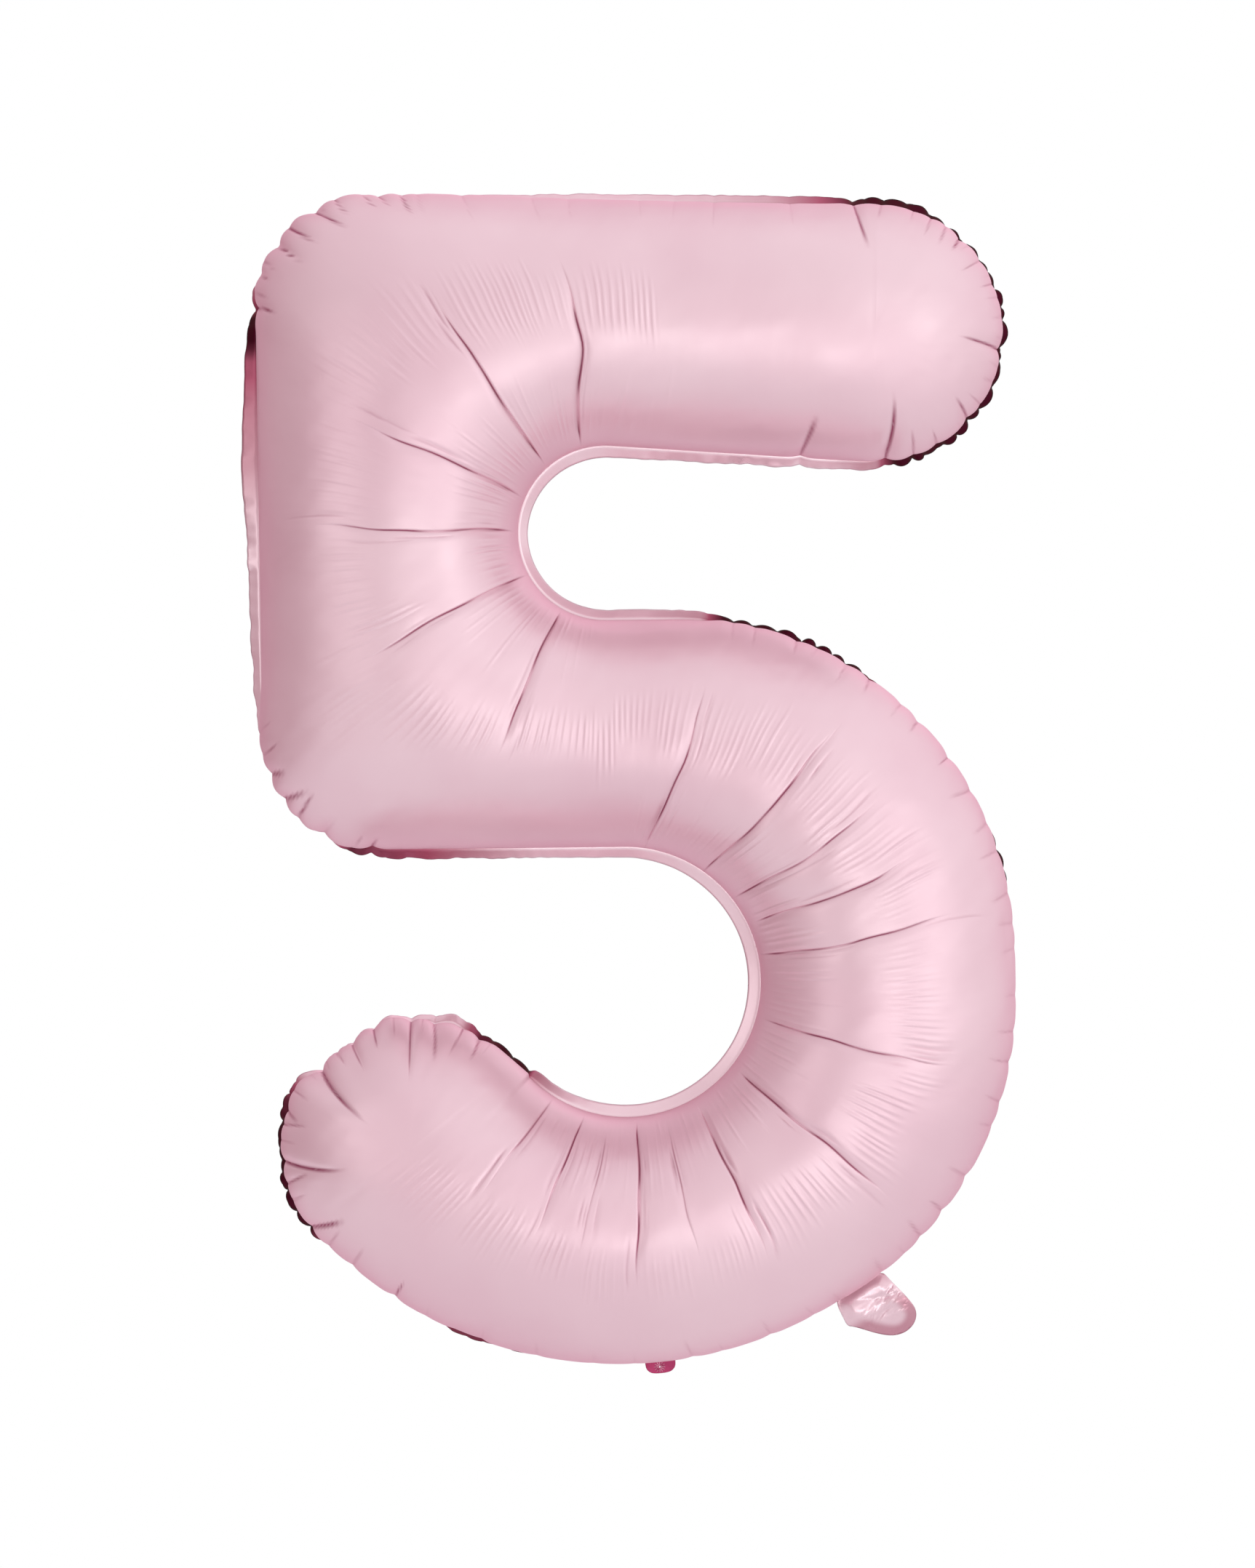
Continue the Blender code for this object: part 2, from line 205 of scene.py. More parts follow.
def crossings(start, angle):
    """The two nearest crossings of a ray with the weld line: distances, and places along it."""
    heading = unit(angle)
    away = OUTLINE - start
    cross = heading[0] * OUTLINE_RUNS[:, 1] - heading[1] * OUTLINE_RUNS[:, 0]
    safe = np.where(np.abs(cross) < 1e-12, 1e-12, cross)
    distance = (away[:, 0] * OUTLINE_RUNS[:, 1] - away[:, 1] * OUTLINE_RUNS[:, 0]) / safe
    along = (away[:, 0] * heading[1] - away[:, 1] * heading[0]) / safe
    hits = np.flatnonzero((along >= 0) & (along < 1) & (distance > 1e-6))
    hits = hits[np.argsort(distance[hits])][:2]
    spans = OUTLINE_LENGTHS[hits + 1] - OUTLINE_LENGTHS[hits]
    return distance[hits], OUTLINE_LENGTHS[hits] + along[hits] * spans


# ---------------------------------------------------------------- the stroke: s along, t across
HALF_WIDTH = 0.094
UPPER_CROWN = HALF_WIDTH - UPPER_NOTCH[2]
LOWER_CROWN = HALF_WIDTH - LOWER_NOTCH[2]
LAST_REACH = centre_of(LOWER_END) - centre_of(LOWER_NOTCH)
LAST_ANGLE = math.atan2(LAST_REACH[1], LAST_REACH[0])
UPPER_FROM = BAR_END[0] - UPPER_NOTCH[0]
BRIDGE_FROM = UPPER_FROM + math.pi * UPPER_CROWN
LOWER_FROM = BRIDGE_FROM + LOWER_NOTCH[0] - UPPER_NOTCH[0]
STROKE_END = LOWER_FROM + (math.pi / 2 - LAST_ANGLE) * LOWER_CROWN


def upper_s(degrees):
    return UPPER_FROM + (math.radians(degrees) - math.pi / 2) * UPPER_CROWN


def lower_s(degrees):
    return LOWER_FROM + (math.pi / 2 - math.radians(degrees)) * LOWER_CROWN


def ray(s):
    """Start and angle of the ray across at s, and whether its near end is the right-hand one."""
    upper, lower = centre_of(UPPER_NOTCH), centre_of(LOWER_NOTCH)
    if s < UPPER_FROM:
        return np.array((BAR_END[0] - s, upper[1])), math.pi / 2, False
    if s < BRIDGE_FROM:
        return upper, math.pi / 2 + (s - UPPER_FROM) / UPPER_CROWN, False
    if s < LOWER_FROM:
        return np.array((upper[0] + s - BRIDGE_FROM, upper[1])), -math.pi / 2, False
    return lower, math.pi / 2 - (s - LOWER_FROM) / LOWER_CROWN, True


def chord_table(stations):
    """Left and right ends of the chord at each station, and their places along the weld line."""
    ends, places = [], []
    for s in stations:
        start, angle, swapped = ray(s)
        distances, spots = crossings(start, angle)
        pair = start + distances[:, None] * unit(angle)
        ends.append(pair[::-1] if swapped else pair)
        places.append(spots[::-1] if swapped else spots)
    return np.array(ends), np.array(places)


TABLE_S = np.linspace(0, STROKE_END, TABLE_STATIONS)
TABLE_ENDS, TABLE_PLACES = chord_table(TABLE_S)
TABLE_PLACES = np.unwrap(TABLE_PLACES, axis=0, period=OUTLINE_LENGTHS[-1])


def chord_ends(s):
    """Left and right end points for an array of s, any shape."""
    left = [np.interp(s, TABLE_S, TABLE_ENDS[:, 0, axis]) for axis in (0, 1)]
    right = [np.interp(s, TABLE_S, TABLE_ENDS[:, 1, axis]) for axis in (0, 1)]
    return np.stack(left, axis=-1), np.stack(right, axis=-1)


def cap_table(end, first_sign, sectors):
    """Rim points beyond the first or last chord, from its left end round to its right end."""
    left, right = TABLE_ENDS[end]
    middle = (left + right) / 2
    away = left - middle
    start = math.atan2(away[1], away[0])
    points, places = [], []
    for step in range(sectors + 1):
        angle = start + first_sign * math.pi * step / sectors
        distances, spots = crossings(middle, angle)
        points.append(middle + distances[0] * unit(angle))
        places.append(spots[0])
    points[0], points[-1] = left, right
    return middle, np.array(points), np.unwrap(np.array(places), period=OUTLINE_LENGTHS[-1])


ACROSS = (1 - np.cos(np.linspace(0, math.pi, QUADS_ACROSS + 1))) / 2
RINGS = QUADS_ACROSS // 2


class Sheet:
    """One film laid flat: a strip of rows with a half disc at each end, as one numbered mesh."""

    def __init__(self, rows, shift, sectors):
        self.rows = rows
        count = len(rows)
        across = np.broadcast_to(ACROSS, (count, QUADS_ACROSS + 1))
        self.strip_s = rows[:, None] + shift(rows[:, None], across)
        left, right = chord_ends(self.strip_s)
        strip = left + across[..., None] * (right - left)
        self.ends = [cap_table(0, 1, sectors), cap_table(-1, -1, sectors)]
        self.sectors = sectors
        blocks = [strip.reshape(-1, 2)]
        self.cap_start = []
        total = count * (QUADS_ACROSS + 1)
        depth = 1 - 2 * ACROSS[:RINGS]
        for middle, rim, _ in self.ends:
            self.cap_start.append(total)
            inner = middle + depth[None, :, None] * (rim[1:-1, None] - middle)
            blocks.append(inner.reshape(-1, 2))
            total += (sectors - 1) * RINGS
        self.points = np.concatenate(blocks)
        self.faces = self.make_faces()

    def strip_index(self):
        count = len(self.rows)
        return np.arange(count * (QUADS_ACROSS + 1)).reshape(count, QUADS_ACROSS + 1)

    def cap_index(self, which):
        """Vertex numbers of a cap by sector and ring, with the strip's row as first and last."""
        row = self.strip_index()[0 if which == 0 else -1]
        own = np.arange((self.sectors - 1) * RINGS).reshape(self.sectors - 1, RINGS)
        own += self.cap_start[which]
        grid = np.vstack((row[:RINGS], own, row[::-1][:RINGS]))
        middle = np.full((self.sectors + 1, 1), row[RINGS])
        return np.hstack((grid, middle))

    def make_faces(self):
        strip = self.strip_index()
        parts = (strip[:-1, :-1], strip[:-1, 1:], strip[1:, 1:], strip[1:, :-1])
        quads = [np.stack(parts, axis=-1).reshape(-1, 4)]
        triangles = []
        for which in (0, 1):
            grid = self.cap_index(which)
            parts = [grid[:-1, :-1], grid[1:, :-1], grid[1:, 1:], grid[:-1, 1:]]
            if which == 1:
                parts = parts[::-1]
            ring = np.stack(parts, axis=-1)
            quads.append(ring[:, :-1].reshape(-1, 4))
            last = ring[:, -1]
            keep = (0, 1, 2) if which == 0 else (1, 2, 3)
            triangles.append(last[:, keep])
        return np.concatenate(quads), np.concatenate(triangles)

    def triangle_list(self):
        quads, triangles = self.faces
        return np.concatenate((quads[:, (0, 1, 2)], quads[:, (0, 2, 3)], triangles))

    def rim(self):
        """Vertex numbers of the weld line in order: left side, lower end, right side, bar end."""
        strip = self.strip_index()
        lower = self.cap_index(1)[1:-1, 0]
        upper = self.cap_index(0)[1:-1, 0][::-1]
        return np.concatenate((strip[:, 0], lower, strip[::-1, -1], upper))

    def spread(self, strip, caps):
        """One value per vertex from a strip array and two cap arrays."""
        return np.concatenate((strip.reshape(-1), caps[0].reshape(-1), caps[1].reshape(-1)))


def membrane(sheet):
    """Square of the inflated half depth: its Laplacian is -2 and it is zero on the weld line.

    Linear elements, solved by conjugate gradients.
    """
    triangles = sheet.triangle_list()
    points = sheet.points
    count = len(points)
    corner = points[triangles]
    ab, ac = corner[:, 1] - corner[:, 0], corner[:, 2] - corner[:, 0]
    area = np.abs(ab[:, 0] * ac[:, 1] - ab[:, 1] * ac[:, 0]) / 2
    load = np.zeros(count)
    starts, ends, weights = [], [], []
    for turn in range(3):
        here, following, opposite = (triangles[:, (turn + shift) % 3] for shift in range(3))
        load += np.bincount(here, 2 * area / 3, count)
        first, second = points[here] - points[opposite], points[following] - points[opposite]
        starts.append(here)
        ends.append(following)
        weights.append((first * second).sum(axis=1) / (4 * area))
    starts, ends, weights = map(np.concatenate, (starts, ends, weights))
    inside = np.ones(count)
    inside[sheet.rim()] = 0
    spread = np.bincount(starts, weights, count) + np.bincount(ends, weights, count)
    scale = inside / spread
    solution = np.zeros(count)
    left = load * inside
    ready = left * scale
    search = ready.copy()
    power = left @ ready
    target = power * 1e-18
    while power > target:
        flow = weights * (search[starts] - search[ends])
        product = (np.bincount(starts, flow, count) - np.bincount(ends, flow, count)) * inside
        step = power / (search @ product)
        solution += step * search
        left -= step * product
        ready = left * scale
        fresh = left @ ready
        search = ready + (fresh / power) * search
        power = fresh
    return solution


def cubic(values, knots_from, knot_step, at):
    """Smooth interpolation down the first axis of values, whose knots are evenly spaced."""
    place = np.clip((at - knots_from) / knot_step, 0, len(values) - 1 - 1e-9)
    base = place.astype(int)
    part = place - base
    last = len(values) - 1
    columns = np.arange(values.shape[1])
    near = [values[np.clip(base + offset, 0, last), columns] for offset in (-1, 0, 1, 2)]
    a = -0.5 * near[0] + 1.5 * near[1] - 1.5 * near[2] + 0.5 * near[3]
    b = near[0] - 2.5 * near[1] + 2 * near[2] - 0.5 * near[3]
    c = 0.5 * (near[2] - near[0])
    return ((a * part + b) * part + c) * part + near[1]


def coarse_solution():
    """The membrane on a coarse sheet, divided by t(1-t), as a strip and two caps."""
    count = int(STROKE_END / COARSE_STEP)
    rows = np.linspace(0, STROKE_END, count + 1)
    sheet = Sheet(rows, lambda s, t: 0 * s, COARSE_SECTORS)
    solved = membrane(sheet)
    share = ACROSS * (1 - ACROSS)
    strip = solved[sheet.strip_index()]
    strip[:, 1:-1] /= share[1:-1]
    strip[:, 0] = 2 * strip[:, 1] - strip[:, 2]
    strip[:, -1] = 2 * strip[:, -2] - strip[:, -3]
    caps = []
    for which in (0, 1):
        cap = solved[sheet.cap_index(which)]
        cap[:, 1:] /= share[1 : RINGS + 1]
        cap[:, 0] = 2 * cap[:, 1] - cap[:, 2]
        caps.append(cap)
    return strip, caps, rows[1]


def heights(sheet, solution):
    """Half depth of the smooth inflated envelope at each vertex of a fine sheet."""
    strip, caps, step = solution
    share = ACROSS * (1 - ACROSS)
    inner = cubic(strip, 0.0, step, sheet.strip_s) * share
    ends = []
    turns = np.arange(1, sheet.sectors)[:, None] / sheet.sectors * COARSE_SECTORS
    turns = np.broadcast_to(turns, (sheet.sectors - 1, RINGS))
    for cap in caps:
        ends.append(cubic(cap[:, :RINGS], 0.0, 1.0, turns) * share[:RINGS])
    return np.sqrt(np.maximum(sheet.spread(inner, ends), 0))


# ---------------------------------------------------------------- small mesh helpers
def mark(mesh, name, values):
    """Stores one number per vertex, for a material to read."""
    attribute = mesh.attributes.new(name, "FLOAT", "POINT")
    attribute.data.foreach_set("value", np.asarray(values, dtype=np.float32))


def linked(name, mesh, look):
    mesh.shade_smooth()
    mesh.materials.append(look)
    made = bpy.data.objects.new(name, mesh)
    bpy.context.collection.objects.link(made)
    return made


def thicken(piece, thickness, offset):
    shell = piece.modifiers.new("film_thickness", "SOLIDIFY")
    shell.thickness = thickness
    shell.offset = offset
    shell.use_even_offset = False


# ---------------------------------------------------------------- wrinkles
def smooth(value, low, high):
    part = np.clip((value - low) / (high - low), 0, 1)
    return part * part * (3 - 2 * part)


def cusp(distance, width):
    """1 at no distance with a sharp point there, easing to 0 at width."""
    return np.clip(1 - np.abs(distance) / width, 0, None) ** 2


def lapped(distance, steep, easy):
    """A fold whose one side laps over the other: steep where the distance is negative."""
    return np.where(distance < 0, cusp(distance, steep), cusp(distance, easy))


def line(distance, width):
    return np.clip(1 - np.abs(distance) / width, 0, None)


class Crease:
    """One long fold: its station, and how far its ends lean away from the row at that station."""

    def __init__(self, to_s, row, sway):
        inner, middle, outer, self.start, self.end, self.strength = row
        self.s = to_s(middle + sway)
        self.inner_lean = to_s(inner) - to_s(middle)
        self.outer_lean = to_s(outer) - to_s(middle)
        turn = 1e4 * self.s
        self.lap = 1 if math.sin(turn) > 0 else -1
        self.turns = (turn % 7, turn % 5, turn % 3)

    def lean(self, f):
        near = self.inner_lean * np.clip(1 - f / 0.4, 0, 1) ** 1.5
        far = self.outer_lean * np.clip((f - 0.35) / 0.4, 0, 1)
        waver = 0.6 * np.sin(9 * f + self.turns[0]) + 0.3 * np.sin(23 * f + self.turns[1])
        return (near + far + WAVER * waver * smooth(f, 0, 0.1)) * smooth(1 - f, 0.0, 0.2)

    def painted_line_shade(self, f):
        """Strength of the painted shade on the fold's line along its length, 0 to 1."""
        beat = np.sin(13 * f + self.turns[1]) + 0.8 * np.sin(29 * f + self.turns[2])
        return smooth(beat, -1.5, 0.6)


def creases_of(seed):
    """All creases of one film, in order along the stroke."""
    rng = np.random.default_rng(seed)
    made = []
    for to_s, rows in ((upper_s, UPPER_CREASES), (lower_s, LOWER_CREASES)):
        for row in rows:
            sway = 0.0 if seed == FRONT_SEED else rng.uniform(-4, 4)
            made.append(Crease(to_s, row, sway))
    return sorted(made, key=lambda crease: crease.s)


def share_from_inside(s, across):
    """Share of the stroke's width from the inner side of the bend that s is in."""
    return np.where(s < BEND_CHANGE, across, 1 - across)


BEND_CHANGE = (BRIDGE_FROM + LOWER_FROM) / 2


def lean_field(creases):
    """The shift along s that lays the rows of a sheet along the creases."""
    knots = [UPPER_FROM - 0.10] + [crease.s for crease in creases] + [STROKE_END]

    def shift(s, across):
        f = share_from_inside(s, across)
        total = np.zeros(np.broadcast(s, across).shape)
        for index, crease in enumerate(creases):
            before, here, after = knots[index : index + 3]
            if before < BEND_CHANGE < here:
                before = BEND_CHANGE
            if here < BEND_CHANGE < after:
                after = BEND_CHANGE
            hat = np.interp(s, (before, here, after), (0, 1, 0), left=0, right=0)
            total = total + hat * crease.lean(f)
        return total

    return shift


def row_stations(creases, step):
    """Rows of the strip: evenly spaced, and closer beside each crease."""
    rows = list(np.arange(0, STROKE_END, step))
    beside = (0.0003, 0.0006, 0.0010, 0.0015, 0.0024, 0.0035)
    pinned = [0.0, STROKE_END]
    for crease in creases:
        pinned.extend(crease.s + sign * gap for sign in (-1, 1) for gap in beside)
        pinned.append(crease.s)
    pinned = np.array(sorted(pinned))
    kept = [row for row in rows if np.abs(pinned - row).min() > 0.4 * step]
    return np.array(sorted(kept + list(pinned)))


class Puckers:
    """Short folds that run in from the weld where its outline is convex."""

    def __init__(self, folds, zones, rng):
        self.spots = list(folds)
        taken = np.array([fold[0] for fold in folds])
        for start, end, pitch, depth, reach, strength in zones:
            here = start + pitch * rng.uniform(0.2, 0.8)
            while here < end:
                clear = np.abs((taken - here + LOOP / 2) % LOOP - LOOP / 2).min()
                size = rng.uniform(0.3, 1.0) * smooth(clear, 0.3 * pitch, 0.8 * pitch)
                lean = rng.uniform(-0.3, 0.3)
                fold = (here % LOOP, lean, reach * (0.4 + size), depth * size, strength * size)
                self.spots.append(fold)
                here += pitch * rng.uniform(0.6, 1.4)

    def relief(self, place, inward):
        """How far the film is drawn in, how deep it is folded and how much painted shade its line
        gets.
        """
        drawn = np.zeros(place.shape)
        folded = np.zeros(place.shape)
        painted_pucker_shade = np.zeros(place.shape)
        for here, lean, reach, depth, strength in self.spots:
            away = (place - here - lean * inward + LOOP / 2) % LOOP - LOOP / 2
            width = 0.008 + 1.6 * depth
            near = (np.abs(away) < max(width, EASY_WIDTH)) & (inward < 1.1 * reach)
            away, share = away[near], inward[near] / reach
            fade = np.clip(1 - share, 0, None)
            drawn[near] += depth * cusp(away, width) * fade**2
            along = smooth(fade, 0.0, 0.45) * smooth(share, -0.2, 0.08)
            hollow = 0.35 * cusp(away, 2.2 * EASY_WIDTH) * fade
            folded[near] += strength * along * (lapped(away, STEEP_WIDTH, EASY_WIDTH) + hollow)
            line_width = PAINTED_FOLD_SHADE_WIDTH + 0.11 * abs(lean) * np.sqrt(HALF_WIDTH * inward[near])
            # painted shade along the pucker's fold line
            painted_pucker_shade[near] += min(1.0, strength) * along * line(away, line_width)
        return drawn, PUCKER_DEPTH * folded, np.clip(painted_pucker_shade, 0, 1)

    def drawn_at_weld(self, place):
        return self.relief(place, np.zeros(place.shape))[0]


LOOP = OUTLINE_LENGTHS[-1]
PUCKER_DEPTH = 0.0012


def weld_place(circle, degrees):
    """Distance along the weld line of the point of a circle of the belt at that direction."""
    return weld_near(*(centre_of(circle) + abs(circle[2]) * unit(math.radians(degrees))))


def weld_near(x, z):
    """Distance along the weld line of its point nearest to a place in the weld plane."""
    return OUTLINE_LENGTHS[np.linalg.norm(OUTLINE - (x, z), axis=1).argmin()]


def weld_rows(rows):
    """Rows with the place along the weld that their first two values stand for.

    Those are a circle of the belt and a direction from it in degrees, or the x and z of a point
    beside the weld.
    """
    found = []
    for first, second, *values in rows:
        locate = weld_place if isinstance(first, tuple) else weld_near
        found.append((locate(first, second), *values))
    return found


def weld_zone(first, first_degrees, second, second_degrees):
    """Stretch of the weld line, clockwise from one direction to another, as start and end."""
    start, end = weld_place(first, first_degrees), weld_place(second, second_degrees)
    return start, end + (LOOP if end < start else 0)


# The main folds of the ends and corners: the place where each starts, how far it leans clockwise
# for each unit that it runs in, its length, how far it draws the weld in, and how strong it is.
END_FOLDS = (
    (BAR_END, 98, 0.25, 0.038, 0.0020, 0.9),
    (BAR_END, 47, 0.20, 0.014, 0.0035, 0.9),
    (BAR_END, 22, 0.00, 0.012, 0.0015, 0.4),
    (BAR_END, -8, -0.15, 0.033, 0.0035, 1.1),
    (BAR_END, -42, -0.25, 0.019, 0.0030, 0.8),
    (BAR_END, -60, -0.10, 0.012, 0.0020, 0.5),
    (BAR_END, -84, -0.38, 0.046, 0.0030, 1.2),
    (LOWER_END, 140, -0.25, 0.060, 0.0085, 1.5),
    (LOWER_END, -173, -0.42, 0.048, 0.0030, 1.2),
    (LOWER_END, -141, -0.50, 0.026, 0.0020, 1.0),
    (LOWER_END, 164, -0.50, 0.013, 0.0030, 0.6),
    (LOWER_END, 129, 0.10, 0.018, 0.0040, 0.5),
    (LOWER_END, 120, 0.00, 0.030, 0.0060, 1.0),
    (LOWER_END, 108, 0.00, 0.020, 0.0050, 0.8),
    (LOWER_END, 90, 0.00, 0.046, 0.0055, 1.3),
    (LOWER_END, 79, 0.30, 0.030, 0.0045, 0.7),
    (LOWER_END, 57, 0.20, 0.018, 0.0040, 0.8),
    (BOWL_BOTTOM, -123, 0.05, 0.018, 0.0020, 0.9),
    (BODY_CORNER, -159, -0.50, 0.016, 0.0042, 0.8),
    (BODY_CORNER, -145, -0.40, 0.022, 0.0040, 0.9),
    (BODY_CORNER, -119, 0.00, 0.019, 0.0048, 1.0),
    (BODY_CORNER, -94, 0.10, 0.012, 0.0028, 0.8),
    (TOP_LEFT_CORNER, 180, 0.25, 0.023, 0.0042, 0.9),
    (TOP_LEFT_CORNER, 162, -0.10, 0.012, 0.0035, 0.6),
    (TOP_LEFT_CORNER, 145, 0.00, 0.030, 0.0060, 1.1),
    (TOP_LEFT_CORNER, 119, 0.30, 0.030, 0.0055, 1.0),
    (TOP_LEFT_CORNER, 85, 0.10, 0.016, 0.0030, 0.7),
    (BOWL_SHOULDER, 69, 0.20, 0.012, 0.0018, 0.4),
    (BOWL_SHOULDER, 55, 0.20, 0.014, 0.0018, 0.4),
    (BOWL_SHOULDER, 44, 0.10, 0.014, 0.0022, 0.5),
    (BOWL_SHOULDER, 36, 0.00, 0.013, 0.0022, 0.5),
    (BOWL_CORNER, -31, -0.05, 0.019, 0.0022, 0.5),
    (BOWL_CORNER, -38, -0.10, 0.016, 0.0022, 0.5),
    (0.103, 0.66, -0.40, 0.030, 0.0018, 0.8),
)

# Small folds between those. Each zone: where it starts and ends, and their pitch, depth, reach and
# strength.
PUCKER_ZONES = (
    (*weld_zone(TOP_LEFT_CORNER, 188, TOP_LEFT_CORNER, 70), 0.016, 0.0022, 0.020, 1.0),
    (*weld_zone(TOP_LEFT_CORNER, 70, BAR_END, 100), 0.040, 0.0009, 0.020, 0.15),
    (*weld_zone(BAR_END, 100, BAR_END, -95), 0.017, 0.0016, 0.014, 0.5),
    (*weld_zone(BOWL_SHOULDER, 82, BOWL_CORNER, -50), 0.027, 0.0016, 0.014, 0.35),
    (*weld_zone(BOWL_CORNER, -50, BOWL_BOTTOM, -122), 0.034, 0.0012, 0.014, 0.2),
    (*weld_zone(BOWL_BOTTOM, -122, LOWER_END, -150), 0.026, 0.0016, 0.016, 0.4),
    (*weld_zone(LOWER_END, -152, LOWER_END, 50), 0.016, 0.0020, 0.018, 0.9),
    (*weld_zone(BODY_CORNER, 265, BODY_CORNER, 172), 0.017, 0.0020, 0.018, 0.9),
)
# Where its margin is gathered back, the weld sinks into a groove and the films swell out beside it.
GROOVE_DEPTH = 0.0020
GROOVE_HEIGHT = 0.012
FRONT_SWELL = 0.0030
BACK_SWELL = 0.0012
SWELL_HEIGHT = 0.085
# A broad dent in the top left of the lower end: place, half width, depth and reach.
DENT = (weld_place(LOWER_END, 126), 0.052, 0.0060, 0.060)


def gathered(place):
    """How far the margin is gathered back at a place along the weld line, 0 to 1."""
    return smooth(margin_state(place % LOOP)[0], 52, 70)


def dent_depth(place, inward):
    middle, half, depth, reach = DENT
    away = (place - middle + LOOP / 2) % LOOP - LOOP / 2
    return depth * smooth(half - np.abs(away), 0, half) * smooth(1 - inward / reach, 0, 1)


def wave_noise(points, wavelength, seed):
    """Smooth noise of about unit size, as a sum of plane waves, at an array of 3-D points."""
    rng = np.random.default_rng(seed)
    total = np.zeros(len(points))
    size = 1.0
    for _ in range(NOISE_OCTAVES):
        for _ in range(NOISE_WAVES):
            heading = rng.normal(size=3)
            heading *= 2 * math.pi / wavelength / np.linalg.norm(heading)
            total += size * np.sin(points @ heading + rng.uniform(0, 2 * math.pi)) / 2.5
        wavelength *= 0.5
        size *= 0.45
    return total


